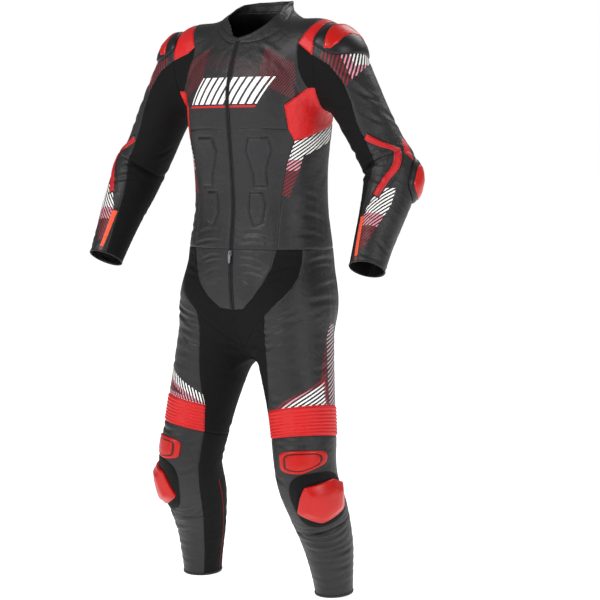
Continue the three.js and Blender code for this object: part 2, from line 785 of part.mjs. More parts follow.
const SLEEVE = [
  { along: 1.5, frontTurn: 6, backTurn: 174 },
  { along: 2.2, frontTurn: 12, backTurn: 172 },
  { along: 3.2, frontTurn: -2, backTurn: 180 },
  { along: 4.2, frontTurn: -4, backTurn: 190 },
  { along: 4.8, frontTurn: -8, backTurn: 194 },
  { along: 6.2, frontTurn: -34, backTurn: 198 },
  { along: 8, frontTurn: -46, backTurn: 196 },
  { along: 9.6, frontTurn: -48, backTurn: 194 },
];
const ELBOW_ROW = 4;
const elbow = SLEEVE[ELBOW_ROW];
const cuff = SLEEVE[SLEEVE.length - 1];
const upperSleeve = SLEEVE.slice(0, ELBOW_ROW + 1);
const lowerSleeve = SLEEVE.slice(ELBOW_ROW);

const ring = (limb, along, from, to, count) =>
  Array.from({ length: count + 1 }, (_, i) => station(limb(along, mix(from, to, i / count))));
const armSeam = (rows, column, count, start = []) =>
  seam([...start, ...rows.map((r) => onArm(r.along, r[column]))], count);

const sleeveFrontUpper = armSeam(upperSleeve, "frontTurn", 6, [armholeAt(88)]);
const sleeveBackUpper = armSeam(upperSleeve, "backTurn", 6, [armholeAt(272)]);
const sleeveFrontLower = armSeam(lowerSleeve, "frontTurn", 5);
const sleeveBackLower = armSeam(lowerSleeve, "backTurn", 5);
const elbowOuter = ring(onArm, elbow.along, elbow.frontTurn, elbow.backTurn, 6);
const elbowInner = ring(onArm, elbow.along, elbow.frontTurn, elbow.backTurn - 360, 6);
const cuffOuter = ring(onArm, cuff.along, cuff.frontTurn, cuff.backTurn, 6);
const cuffInner = ring(onArm, cuff.along, cuff.frontTurn, cuff.backTurn - 360, 6);
const sleeveHead = back(joined(armholePart(272, 360), armholePart(0, 88)));

const sleeveGrid = pair(
  "sleeve_outer",
  { top: sleeveHead, left: sleeveFrontUpper, right: sleeveBackUpper, bottom: elbowOuter },
  blackLeather,
);
pair(
  "sleeve_inner",
  { top: armholePart(88, 272), left: sleeveFrontUpper, right: sleeveBackUpper, bottom: elbowInner },
  stretchCloth,
);
const forearmGrid = pair(
  "forearm_outer",
  { top: elbowOuter, left: sleeveFrontLower, right: sleeveBackLower, bottom: cuffOuter },
  blackLeather,
);
pair(
  "forearm_inner",
  { top: elbowInner, left: sleeveFrontLower, right: sleeveBackLower, bottom: cuffInner },
  stretchCloth,
);

// Trouser seams. On a leg, a turn goes from its front to its outer side

const LEG_SEAMS = [
  { along: 1.9, inFront: -27, side: 112, inBack: 228 },
  { along: 2.6, inFront: -38, side: 113, inBack: 225 },
  { along: 3.2, inFront: -54, side: 113, inBack: 222 },
  { along: 4.1, inFront: -64, side: 113, inBack: 222 },
  { along: 5.6, inFront: -66, side: 114, inBack: 222 },
  { along: 7.3, inFront: -62, side: 116, inBack: 222 },
  { along: 9, inFront: -58, side: 118, inBack: 222 },
  { along: 10.3, inFront: -56, side: 118, inBack: 222 },
];
const [GROIN_ROW, BAND_TOP_ROW, BAND_LOW_ROW, SHIN_ROW] = [0, 2, 3, 5];
const legSeam = (from, to, column, count, start = []) =>
  seam([...start, ...LEG_SEAMS.slice(from, to + 1).map((r) => onLeg(r.along, r[column]))], count);
const legRing = (row, from, to, count) => {
  const r = LEG_SEAMS[row];
  const turn = (column) => (column === "inBackUnder" ? r.inBack - 360 : r[column]);
  return ring(onLeg, r.along, turn(from), turn(to), count);
};

const CROTCH = { y: -6, z: -700 };
const RISE = { bottomZ: -706, halfWidth: 34, curve: 4 };
const onCrotch = (turn) => {
  const direction = vector(0, -Math.cos(radians(turn)), -Math.sin(radians(turn)));
  return cast(vector(0, CROTCH.y, CROTCH.z), direction);
};
const crotchPart = (turns) => turns.map((turn) => station(onCrotch(turn), 0));
const crotchFront = [station(onTrunk(0, RISE.bottomZ), 0), ...crotchPart([30, 55])];
const crotchUnder = crotchPart([55, 90, 125]);
const crotchBack = crotchPart([125, 150, 176]);

const riseLowZip = onZip(RISE.bottomZ);
const riseCorner = settled(vector(RISE.halfWidth, riseLowZip.y, RISE.bottomZ + RISE.curve));
const riseCentre = seam([waistRing[0].outer, onZip(-630), riseLowZip], 4, ZIP_HALF);
const riseEdge = seam([waistAt(48), onTrunk(43, -604), onTrunk(32, -656), riseCorner], 4);
const riseBottom = [...seam([riseCorner, riseLowZip], 2).slice(0, 2), riseCentre[4]];
const riseTail = [riseCentre[4], crotchFront[0]];

const groinFront = at("groinFront");
const groinBack = at("groinBack");
const stretchOuter = seam([waistAt(68), at("hipUpper"), at("hipLower"), groinFront], 6);
const forkSeam = seam([riseCorner, groinFront], 3);
const groinSeam = [crotchFront[2], ...seam([crotchFront[2].outer, groinFront], 3).slice(1)];
const seatSeam = [crotchBack[0], ...seam([crotchBack[0].outer, groinBack], 3).slice(1)];
const inFrontUpper = legSeam(GROIN_ROW, BAND_TOP_ROW, "inFront", 6, [groinFront, at("groinBelow")]);
const inFrontBand = legSeam(BAND_TOP_ROW, BAND_LOW_ROW, "inFront", 2);
const inFrontKnee = legSeam(BAND_LOW_ROW, SHIN_ROW, "inFront", 5);
const inFrontShin = legSeam(SHIN_ROW, LEG_SEAMS.length - 1, "inFront", 5);
const inBackUpper = legSeam(GROIN_ROW, BAND_LOW_ROW, "inBack", 9, [groinBack]);
const hipSide = [waistAt(110), onTrunk(106, -660)];
const sideUpper = legSeam(GROIN_ROW, BAND_TOP_ROW, "side", 8, hipSide);
const sideBand = legSeam(BAND_TOP_ROW, BAND_LOW_ROW, "side", 2);
const sideKnee = legSeam(BAND_LOW_ROW, SHIN_ROW, "side", 5);
const sideShin = legSeam(SHIN_ROW, LEG_SEAMS.length - 1, "side", 5);
const seatCentre = seam([onTrunk(180, WAIST_Z), onTrunk(180, -620), onCrotch(176)], 4, 0);

const bandTop = legRing(BAND_TOP_ROW, "inFront", "side", 7);
const bandLow = legRing(BAND_LOW_ROW, "inFront", "side", 7);
const kneeInner = legRing(BAND_LOW_ROW, "inFront", "inBackUnder", 4);
const kneeBack = legRing(BAND_LOW_ROW, "side", "inBack", 5);
const shinTop = legRing(SHIN_ROW, "inFront", "side", 7);
const hemFront = legRing(LEG_SEAMS.length - 1, "inFront", "side", 7);
const hemRear = ring(onLeg, LEG_SEAMS[7].along, LEG_SEAMS[7].side, LEG_SEAMS[7].inFront + 360, 9);

// Trousers: a leather rise each side of the zip, stretch cloth at the groin and inside the leg

pair(
  "rise",
  { top: waistPart(0, 48), left: riseCentre, right: riseEdge, bottom: back(riseBottom) },
  blackLeather,
);
pair(
  "hip_stretch",
  { top: waistPart(48, 68), left: riseEdge, right: stretchOuter, bottom: forkSeam },
  stretchCloth,
);
pair(
  "fork_stretch",
  {
    top: joined(back(riseTail), back(riseBottom), forkSeam),
    left: crotchFront,
    right: back(groinSeam.slice(2)),
    bottom: groinSeam.slice(0, 3),
  },
  stretchCloth,
);
pair(
  "inner_leg",
  {
    top: joined(back(groinSeam), crotchUnder, seatSeam),
    left: joined(inFrontUpper, inFrontBand),
    right: inBackUpper,
    bottom: kneeInner,
  },
  stretchCloth,
);
pair(
  "thigh",
  { top: waistPart(68, 110), left: joined(stretchOuter, inFrontUpper), right: sideUpper, bottom: bandTop },
  blackLeather,
);
pair(
  "seat",
  {
    top: waistPart(110, 180),
    left: joined(sideUpper, sideBand),
    right: joined(seatCentre, back(crotchBack), seatSeam, inBackUpper),
    bottom: kneeBack,
  },
  blackLeather,
);

// Knees and shins: a ribbed red band, a plain knee and shin, and one piece round the calf

// Moves every other row inside a grid out, wall and all
function ribbed(grid) {
  return grid.map((row, i) =>
    row.map((s, j) => {
      if (i % 2 === 0 || j === 0 || j === row.length - 1) return s;
      const out = s.outer.clone().sub(s.inner).setLength(RIB.height);
      return { outer: s.outer.clone().add(out), inner: s.inner.clone().add(out) };
    }),
  );
}

pair(
  "knee_band",
  { top: bandTop, left: inFrontBand, right: sideBand, bottom: bandLow },
  redLeather,
  { least: { rows: RIB.count * 2, columns: 7 }, worked: ribbed },
);
const kneeGrid = pair(
  "knee",
  { top: bandLow, left: inFrontKnee, right: sideKnee, bottom: shinTop },
  blackLeather,
);
pair("shin", { top: shinTop, left: inFrontShin, right: sideShin, bottom: hemFront }, blackLeather);
pair(
  "calf",
  {
    top: joined(kneeBack, back(kneeInner)),
    left: joined(sideKnee, sideShin),
    right: joined(inFrontKnee, inFrontShin),
    bottom: hemRear,
  },
  stretchCloth,
);

// Front zips: a narrow band between the two fronts, from the collar's rim to the waist, and a second
// one down the rise

function zipBand(name, edge) {
  const grid = edge.map((s) => {
    const [near, far] = [s, mirroredGrid([[s]])[0][0]];
    const middle = {
      outer: near.outer.clone().lerp(far.outer, 0.5),
      inner: near.inner.clone().lerp(far.inner, 0.5),
    };
    return [far, middle, near];
  });
  add(name, wallGeometry(drawnIn(grid)), zipCloth);
  return grid;
}

zipBand("jacket_zip", joined(back(collarFront), frontUpper, frontLower));
const riseZipGrid = zipBand("trouser_zip", riseCentre);

// Hard pieces on the suit. Each is a body of rings, cut to sit on the pieces that carry it

function solid(geometry) {
  const mesh = new manifold.Mesh({
    numProp: 3,
    vertProperties: geometry.getAttribute("position").array,
    triVerts: Uint32Array.from(geometry.getIndex().array),
  });
  mesh.merge();
  return new manifold.Manifold(mesh);
}

function geometryOf(body) {
  const mesh = body.getMesh();
  const geometry = new THREE.BufferGeometry();
  geometry.setAttribute("position", new THREE.Float32BufferAttribute(mesh.vertProperties, 3));
  geometry.setIndex([...mesh.triVerts]);
  return geometry.toNonIndexed();
}

// A carrying piece grown by the seat gap, so that what is cut by it rests on its faces
function seatOf(grid) {
  const grown = drawnIn(grid, -GAP).map((row) =>
    row.map((s) => {
      const out = s.outer.clone().sub(s.inner).normalize();
      return {
        outer: s.outer.clone().addScaledVector(out, SEAT_GAP),
        inner: s.inner.clone().addScaledVector(out, -2 * SINK),
      };
    }),
  );
  return solid(wallGeometry(grown));
}

// A closed body from rings of places: its top is raised by each ring's rise, its bottom is sunk
function ringBody({ place, outline, rings, sectors, sink = SINK }) {
  const positions = [];
  const index = [];
  const put = (p, rise) => {
    const out = slope(p).normalize();
    positions.push(...p.clone().addScaledVector(out, rise).toArray());
  };
  const middle = settled(place(0, 0));
  const layers = [];
  for (const top of [true, false]) {
    const rows = [];
    for (const ring of rings) {
      if (ring.reach === 0) {
        rows.push([positions.length / 3]);
        put(middle, top ? ring.rise : -sink);
        continue;
      }
      const row = [];
      for (let k = 0; k < sectors; k++) {
        const [u, v] = outline((k / sectors) * 2 * Math.PI);
        const p = settled(place(u * ring.reach, v * ring.reach));
        row.push(positions.length / 3);
        put(p, top ? ring.rise : -sink);
      }
      rows.push(row);
    }
    layers.push(rows);
  }
  const face = (a, b, c, top) => (top ? index.push(a, b, c) : index.push(a, c, b));
  layers.forEach((rows, layer) => {
    const top = layer === 0;
    for (let k = 0; k < sectors; k++) {
      const next = (k + 1) % sectors;
      face(rows[0][0], rows[1][k], rows[1][next], top);
      for (let i = 1; i < rows.length - 1; i++) {
        face(rows[i][k], rows[i + 1][k], rows[i + 1][next], top);
        face(rows[i][k], rows[i + 1][next], rows[i][next], top);
      }
    }
  });
  const [rimTop, rimLow] = layers.map((rows) => rows[rows.length - 1]);
  for (let k = 0; k < sectors; k++) {
    const next = (k + 1) % sectors;
    index.push(rimTop[k], rimLow[k], rimLow[next], rimTop[k], rimLow[next], rimTop[next]);
  }
  const geometry = new THREE.BufferGeometry();
  geometry.setAttribute("position", new THREE.Float32BufferAttribute(positions, 3));
  geometry.setIndex(index);
  const body = solid(geometry);
  if (body.volume() > 0) return body;
  for (let k = 0; k < index.length; k += 3) [index[k + 1], index[k + 2]] = [index[k + 2], index[k + 1]];
  geometry.setIndex(index);
  return solid(geometry);
}

// A rounded outline: power 2 is an oval and a higher one squarer. Lean moves its ends sideways and
// taper makes its upper end narrower
function roundedOutline({ power, lean = 0, taper = 0 }) {
  return (angle) => {
    const c = Math.cos(angle);
    const d = Math.sin(angle);
    const reach = Math.pow(Math.pow(Math.abs(c), power) + Math.pow(Math.abs(d), power), -1 / power);
    const u = c * reach;
    return [u, d * reach * (1 + taper * u) + lean * u];
  };
}

// A hard piece on a limb, seated on the pieces that carry it, and the right limb's, which may lie at
// a turn of its own
function hardPair(name, on, shape, seats, material) {
  const seated = (turn) => {
    const body = ringBody({
      place: (u, v) => on(shape.along + u * shape.alongHalf, turn + v * shape.turnHalf),
      outline: roundedOutline(shape.outline),
      rings: shape.rings,
      sectors: shape.sectors,
    });
    return seats.reduce((left, seat) => left.subtract(seat), body);
  };
  add(name + "_left", geometryOf(seated(shape.turn)), material);
  add(name + "_right", geometryOf(seated(shape.rightTurn ?? shape.turn).mirror([1, 0, 0])), material);
}

const carriers = [strapGrid, sleeveGrid, forearmGrid, kneeGrid];
const [strapSeat, sleeveSeat, forearmSeat, kneeSeat] = carriers.map(seatOf);

// Shoulder cups: a black hump on each sleeve head

const SHOULDER_CUP = {
  along: 0.92,
  alongHalf: 0.5,
  turn: 78,
  turnHalf: 66,
  outline: { power: 3, lean: 0.1 },
  rings: [
    { reach: 0, rise: 12 },
    { reach: 0.4, rise: 11.4 },
    { reach: 0.7, rise: 9.4 },
    { reach: 0.88, rise: 6.4 },
    { reach: 1, rise: 2 },
  ],
  sectors: 20,
};
hardPair("shoulder_cup", onArm, SHOULDER_CUP, [sleeveSeat, strapSeat], blackPlastic);

// Elbow cups: a red hump at the outer side of each elbow

const ELBOW_CUP = {
  along: 5.58,
  alongHalf: 0.64,
  turn: 104,
  turnHalf: 40,
  outline: { power: 2.6, taper: 0.12 },
  rings: [
    { reach: 0, rise: 15 },
    { reach: 0.4, rise: 14 },
    { reach: 0.72, rise: 10.5 },
    { reach: 0.9, rise: 6.5 },
    { reach: 1, rise: 2.4 },
  ],
  sectors: 18,
};
hardPair("elbow_cup", onArm, ELBOW_CUP, [sleeveSeat, forearmSeat], redPlastic);

// Knees: a low oval plate above and a thick round slider below it, on the outer front

const KNEE_PLATE = {
  along: 4.98,
  alongHalf: 0.36,
  turn: 16,
  turnHalf: 46,
  outline: { power: 2.3, taper: 0.1, lean: 0.16 },
  rings: [
    { reach: 0, rise: 4.2 },
    { reach: 0.6, rise: 4.2 },
    { reach: 0.88, rise: 3.8 },
    { reach: 1, rise: 2.2 },
  ],
  sectors: 20,
};
hardPair("knee_plate", onLeg, KNEE_PLATE, [kneeSeat], redPlastic);

const KNEE_SLIDER = {
  along: 6.16,
  alongHalf: 0.54,
  turn: 38,
  rightTurn: 28,
  turnHalf: 44,
  outline: { power: 2.5, taper: 0.14, lean: 0.1 },
  rings: [
    { reach: 0, rise: 21 },
    { reach: 0.4, rise: 20 },
    { reach: 0.7, rise: 17.5 },
    { reach: 0.88, rise: 13.5 },
    { reach: 1, rise: 7 },
  ],
  sectors: 20,
};
hardPair("knee_slider", onLeg, KNEE_SLIDER, [kneeSeat], redPlastic);

// Trouser zip slider at the waist, with a pull tab that hangs from its loop. Both are laid out flat,
// x across, y up the zip and z out from the band, and then set on the band

const LOOP = { half: 1.5, wall: 1.1, width: 2.4 };
const BLOCK = { width: 8, length: 13, height: 3.2, bevel: 0.8 };
const TAB = {
  width: 7,
  length: 25,
  shoulder: 10,
  thickness: 1.6,
  bar: 0.8,
  slotLength: 3.2,
  slotWidth: 3.4,
  endWidth: 5,
};
const SLIDER_SHARE = 0.27;

const zipTop = riseZipGrid[0][1].outer;
const zipNext = riseZipGrid[1][1].outer;
const zipUp = zipTop.clone().sub(zipNext).normalize();
const acrossZip = vector(1, 0, 0);
const zipFrame = new THREE.Matrix4()
  .makeBasis(acrossZip, zipUp, acrossZip.clone().cross(zipUp))
  .setPosition(zipTop.clone().lerp(zipNext, SLIDER_SHARE));
const loopHeight = SEAT_GAP + BLOCK.height + LOOP.half;

const indexed = (geometry) => {
  const plain = new THREE.BufferGeometry();
  plain.setAttribute("position", geometry.getAttribute("position"));
  const count = geometry.getAttribute("position").count;
  plain.setIndex(geometry.getIndex() ?? [...Array(count).keys()]);
  return plain;
};

const block = new THREE.BoxGeometry(BLOCK.width, BLOCK.length, BLOCK.height);
const blockPlaces = block.getAttribute("position");
for (let i = 0; i < blockPlaces.count; i++) {
  if (blockPlaces.getZ(i) < 0) continue;
  blockPlaces.setX(i, blockPlaces.getX(i) * (1 - (2 * BLOCK.bevel) / BLOCK.width));
  blockPlaces.setY(i, blockPlaces.getY(i) * (1 - (2 * BLOCK.bevel) / BLOCK.length));
}
block.translate(0, 0, SEAT_GAP + BLOCK.height / 2);

const rectangle = (Kind, left, right, low, high) =>
  new Kind([
    new THREE.Vector2(left, low),
    new THREE.Vector2(right, low),
    new THREE.Vector2(right, high),
    new THREE.Vector2(left, high),
  ]);

const loopOuter = LOOP.half + LOOP.wall;
const loopShape = rectangle(THREE.Shape, -loopOuter, loopOuter, -loopOuter, loopOuter);
loopShape.holes.push(rectangle(THREE.Path, -LOOP.half, LOOP.half, -LOOP.half, LOOP.half));
const loop = new THREE.ExtrudeGeometry(loopShape, { depth: LOOP.width, bevelEnabled: false });
loop.translate(0, 0, -LOOP.width / 2);
loop.rotateY(Math.PI / 2);
loop.translate(0, 0, loopHeight);

const sliderBody = solid(indexed(block)).add(solid(indexed(loop)));
const zipSlider = geometryOf(sliderBody);
zipSlider.applyMatrix4(zipFrame);
add("zip_slider", zipSlider, blackPlastic);

const tabShape = new THREE.Shape([
  new THREE.Vector2(-TAB.width / 2, TAB.bar),
  new THREE.Vector2(-TAB.width / 2, -TAB.shoulder),
  new THREE.Vector2(-TAB.endWidth / 2, -TAB.length + TAB.endWidth / 2),
  new THREE.Vector2(-TAB.endWidth / 4, -TAB.length),
  new THREE.Vector2(TAB.endWidth / 4, -TAB.length),
  new THREE.Vector2(TAB.endWidth / 2, -TAB.length + TAB.endWidth / 2),
  new THREE.Vector2(TAB.width / 2, -TAB.shoulder),
  new THREE.Vector2(TAB.width / 2, TAB.bar),
]);
tabShape.holes.push(
  rectangle(THREE.Path, -TAB.slotWidth / 2, TAB.slotWidth / 2, -TAB.bar - TAB.slotLength, -TAB.bar),
);
const tab = new THREE.ExtrudeGeometry(tabShape, { depth: TAB.thickness, bevelEnabled: false });
tab.translate(0, 0, loopHeight - TAB.thickness / 2);
tab.applyMatrix4(zipFrame);
add("zip_pull", tab, blackPlastic);

export default suit;
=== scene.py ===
import math

import bmesh
import bpy
import numpy as np
from mathutils import Matrix, Vector
from mathutils.kdtree import KDTree


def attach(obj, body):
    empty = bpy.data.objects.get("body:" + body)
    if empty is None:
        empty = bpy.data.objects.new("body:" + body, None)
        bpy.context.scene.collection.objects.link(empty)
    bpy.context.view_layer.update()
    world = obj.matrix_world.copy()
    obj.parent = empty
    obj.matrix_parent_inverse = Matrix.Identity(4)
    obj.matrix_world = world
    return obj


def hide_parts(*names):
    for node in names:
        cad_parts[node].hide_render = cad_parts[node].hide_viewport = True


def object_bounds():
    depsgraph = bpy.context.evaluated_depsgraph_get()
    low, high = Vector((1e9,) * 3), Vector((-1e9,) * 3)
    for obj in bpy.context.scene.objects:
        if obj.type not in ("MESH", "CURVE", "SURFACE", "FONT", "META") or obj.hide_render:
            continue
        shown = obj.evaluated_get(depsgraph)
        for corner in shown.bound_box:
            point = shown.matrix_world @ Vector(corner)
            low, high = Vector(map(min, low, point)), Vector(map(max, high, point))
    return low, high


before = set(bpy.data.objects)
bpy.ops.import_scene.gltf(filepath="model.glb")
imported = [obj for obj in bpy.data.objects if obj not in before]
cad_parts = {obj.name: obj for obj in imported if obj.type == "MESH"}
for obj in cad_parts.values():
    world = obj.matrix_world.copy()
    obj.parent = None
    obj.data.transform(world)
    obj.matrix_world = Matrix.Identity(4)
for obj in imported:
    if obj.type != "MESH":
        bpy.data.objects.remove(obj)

cad_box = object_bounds()

# The camera stands in front of the suit and to the wearer's left, a little below the chest,
# and looks slightly down.

FRAME_WIDTH = 600
FOCAL_LENGTH = 1640
HORIZON_HEIGHT = 155.7
DISTANCE = 4.1
SENSOR = 36

turned = math.radians(33)
tilt = math.atan((FRAME_WIDTH / 2 - HORIZON_HEIGHT) / FOCAL_LENGTH)
right = Vector((math.cos(turned), math.sin(turned), 0))
towards = Vector((math.sin(turned), -math.cos(turned), 0))
ahead = -towards * math.cos(tilt) - Vector((0, 0, math.sin(tilt)))
upward = right.cross(ahead)
lens = bpy.data.cameras.new("camera")
lens.sensor_width = SENSOR
lens.lens = FOCAL_LENGTH / FRAME_WIDTH * SENSOR
lens.clip_end = 100
camera = bpy.data.objects.new("camera", lens)
bpy.context.collection.objects.link(camera)
stand = towards * DISTANCE + Vector((0, 0, -0.33)) + right * (38.5 / FOCAL_LENGTH * DISTANCE)
camera.matrix_world = Matrix.Translation(stand) @ Matrix((right, upward, -ahead)).transposed().to_4x4()
bpy.context.scene.camera = camera

# Chest: one smooth black leather piece each side of the zip, from the neck seam to the seam under
# the chest. Like every sewn piece it takes the worn form, given first: one smooth figure with a
# trunk and two pairs of limbs, each of oval sections in millimetres, blended where they meet.

# z, half width, front, back, centre y, power
TRUNK = np.array([
    (90, 66, 66, 76, 22, 2), (50, 68, 70, 74, 18, 2), (26, 78, 76, 78, 13, 2), (6, 108, 84, 88, 10, 2),
    (-18, 158, 92, 102, 8, 2.1), (-56, 182, 112, 120, 8, 2.2), (-110, 186, 134, 130, 6, 2.4),
    (-180, 188, 148, 132, 2, 2.5), (-260, 184, 140, 124, -2, 2.5), (-360, 174, 130, 118, 0, 2.4),
    (-460, 174, 126, 118, 2, 2.4), (-560, 188, 130, 134, -4, 2.4), (-650, 192, 128, 148, -6, 2.4),
    (-720, 186, 112, 142, -8, 2.3), (-780, 134, 86, 110, -6, 2.2), (-830, 60, 40, 50, 0, 2),
], float)

# x, y, z, half across, half fore and aft
ARM = np.array([
    (172, 2, -74, 74, 86), (218, -4, -106, 74, 82), (262, -8, -170, 67, 75), (308, -8, -248, 61, 70),
    (346, -4, -315, 60, 67), (376, -8, -362, 64, 68), (384, -32, -412, 61, 64), (387, -67, -468, 54, 57),
    (387, -102, -526, 47, 50), (388, -130, -576, 43, 45), (389, -141, -596, 42, 44),
], float)
LEG = np.array([
    (94, -14, -700, 100, 120), (107, -20, -760, 100, 114), (126, -32, -840, 92, 102),
    (146, -44, -930, 84, 92), (161, -54, -1010, 80, 86), (171, -64, -1075, 76, 84),
    (178, -58, -1130, 74, 82), (186, -24, -1200, 71, 80), (194, 4, -1280, 63, 66),
    (199, 14, -1340, 55, 58), (202, 20, -1396, 48, 52), (203, 22, -1440, 47, 51),
], float)


def rounded(table, steps):
    """A finer table, with a smooth curve through each column."""
    last = len(table) - 1
    out = []
    for i in range(last):
        a, b, c, d = (table[min(last, max(0, k))] for k in (i - 1, i, i + 1, i + 2))
        for k in range(steps):
            t = k / steps
            bend, twist = 2 * a - 5 * b + 4 * c - d, 3 * b - a - 3 * c + d
            out.append(0.5 * (2 * b + (c - a) * t + bend * t * t + twist * t**3))
    out.append(table[last])
    return np.array(out)


ARM_SPLAY, LEG_SPLAY = 10, 15
LIMB_BLEND, CROTCH_BLEND = 50, 30

trunk_rows = rounded(TRUNK, 5)
trunk_rows = trunk_rows[np.argsort(trunk_rows[:, 0])]


def stretches(table, splay):
    """A limb's straight stretches: start, direction, length, front, outer side, and both ends' sizes."""
    rows = rounded(table, 3)
    fore = np.array([math.sin(math.radians(splay)), -math.cos(math.radians(splay)), 0])
    out = []
    for a, b in zip(rows[:-1], rows[1:]):
        span = b[:3] - a[:3]
        length = np.linalg.norm(span)
        along = span / length
        front = fore - fore.dot(along) * along
        front /= np.linalg.norm(front)
        out.append((a[:3], along, length, front, np.cross(front, along), a[3:], b[3:]))
    return out


arm_stretches = stretches(ARM, ARM_SPLAY)
leg_stretches = stretches(LEG, LEG_SPLAY)


def trunk_form(p):
    heights = trunk_rows[:, 0]
    a, front, back, middle, power = (np.interp(p[:, 2], heights, trunk_rows[:, k]) for k in range(1, 6))
    y = p[:, 1] - middle
    depth = np.where(y < 0, front, back)
    reach = (np.abs(p[:, 0] / a) ** power + np.abs(y / depth) ** power) ** (1 / power)
    ends = np.maximum(p[:, 2] - trunk_rows[-1, 0], trunk_rows[0, 0] - p[:, 2])
    return np.maximum((reach - 1) * np.minimum(a, depth), ends)


def limb_form(p, parts):
    nearest = np.full(len(p), 1e9)
    for start, along, length, front, outer, a, b in parts:
        d = p - start
        t = np.clip(d @ along / length, 0, 1)
        d = d - t[:, None] * (along * length)
        across, fore = a[0] + t * (b[0] - a[0]), a[1] + t * (b[1] - a[1])
        small = np.minimum(across, fore)
        reach = np.sqrt((d @ outer / across) ** 2 + (d @ front / fore) ** 2 + (d @ along / small) ** 2)
        nearest = np.minimum(nearest, (reach - 1) * small)
    return nearest


def blended(a, b, width):
    near = np.maximum(width - np.abs(a - b), 0) / width
    return np.minimum(a, b) - near * near * width / 4


def form(p):
    """Below zero inside the figure and zero on its surface, in millimetres."""
    q = p.copy()
    q[:, 0] = np.abs(q[:, 0])
    f = trunk_form(q)
    arms, legs = q[:, 2] > -720, q[:, 2] < -480
    if arms.any():
        f[arms] = blended(f[arms], limb_form(q[arms], arm_stretches), LIMB_BLEND)
    if legs.any():
        far = q[legs] * [-1, 1, 1]
        near_leg, far_leg = limb_form(q[legs], leg_stretches), limb_form(far, leg_stretches)
        f[legs] = blended(f[legs], blended(near_leg, far_leg, CROTCH_BLEND), LIMB_BLEND)
    return f


STEP = 1.5


def outwards(p, f=None):
    """The way straight out of the figure at each place, longer where the form changes faster."""
    f = form(p) if f is None else f
    return np.stack([form(p + step) - f for step in np.eye(3) * STEP], 1) / STEP


def settled(p, times=2):
    """The places of p on the figure, and the directions straight out of it."""
    for _ in range(times):
        f = form(p)
        g = outwards(p, f)
        p = p - g * (f / np.maximum((g * g).sum(1), 0.05))[:, None]
    g = outwards(p)
    return p, g / np.linalg.norm(g, axis=1)[:, None]


# parts of one section's length on a limb's middle line
FINE = 24


def limb_axis(table, splay):
    """Middle line of a limb in fine steps, with its direction, front, outer side and half sizes."""
    rows = rounded(table, FINE)
    along = np.gradient(rows[:, :3], axis=0)
    spacing = np.linalg.norm(along, axis=1)
    along /= spacing[:, None]
    fore = np.array([math.sin(math.radians(splay)), -math.cos(math.radians(splay)), 0])
    front = fore - (along @ fore)[:, None] * along
    front /= np.linalg.norm(front, axis=1)[:, None]
    return rows[:, :3], along, front, np.cross(front, along), rows[:, 3:], spacing


arm_axis = limb_axis(ARM, ARM_SPLAY)
leg_axis = limb_axis(LEG, LEG_SPLAY)


def on_limb(axis, along, turn):
    """Places on a limb: along counts its sections, and a turn goes from its front to its outer side."""
    middle, _, front, outer, sizes, _ = axis
    at = np.atleast_1d(np.asarray(along, float)) * FINE
    turn = np.radians(np.atleast_1d(np.asarray(turn, float)))
    i = np.clip(at.astype(int), 0, len(middle) - 2)
    t = (at - i)[:, None]
    here, ahead_of, aside, size = (k[i] * (1 - t) + k[i + 1] * t for k in (middle, front, outer, sizes))
    fore, across = (np.cos(turn) * size[:, 1])[:, None], (np.sin(turn) * size[:, 0])[:, None]
    places = here + ahead_of * fore + aside * across
    return places if len(places) > 1 else places[0]


def arm(along, turn):
    return on_limb(arm_axis, along, turn)


def leg(along, turn):
    return on_limb(leg_axis, along, turn)


def trunk(turn, z):
    """The place on the trunk at a turn from its front towards its side, and a height."""
    heights = trunk_rows[:, 0]
    a, front, back, middle, power = (np.interp(z, heights, trunk_rows[:, k]) for k in range(1, 6))
    turn = math.radians(turn)
    depth = front if math.cos(turn) > 0 else back
    reach = (abs(math.sin(turn) / a) ** power + abs(math.cos(turn) / depth) ** power) ** (-1 / power)
    return np.array([math.sin(turn) * reach, middle - math.cos(turn) * reach, z])


# Folds of the worn suit. Each is a trough with a ridge beside it, from one place to another, with
# its own width and depth in millimetres. The right side has its own slightly different ones.

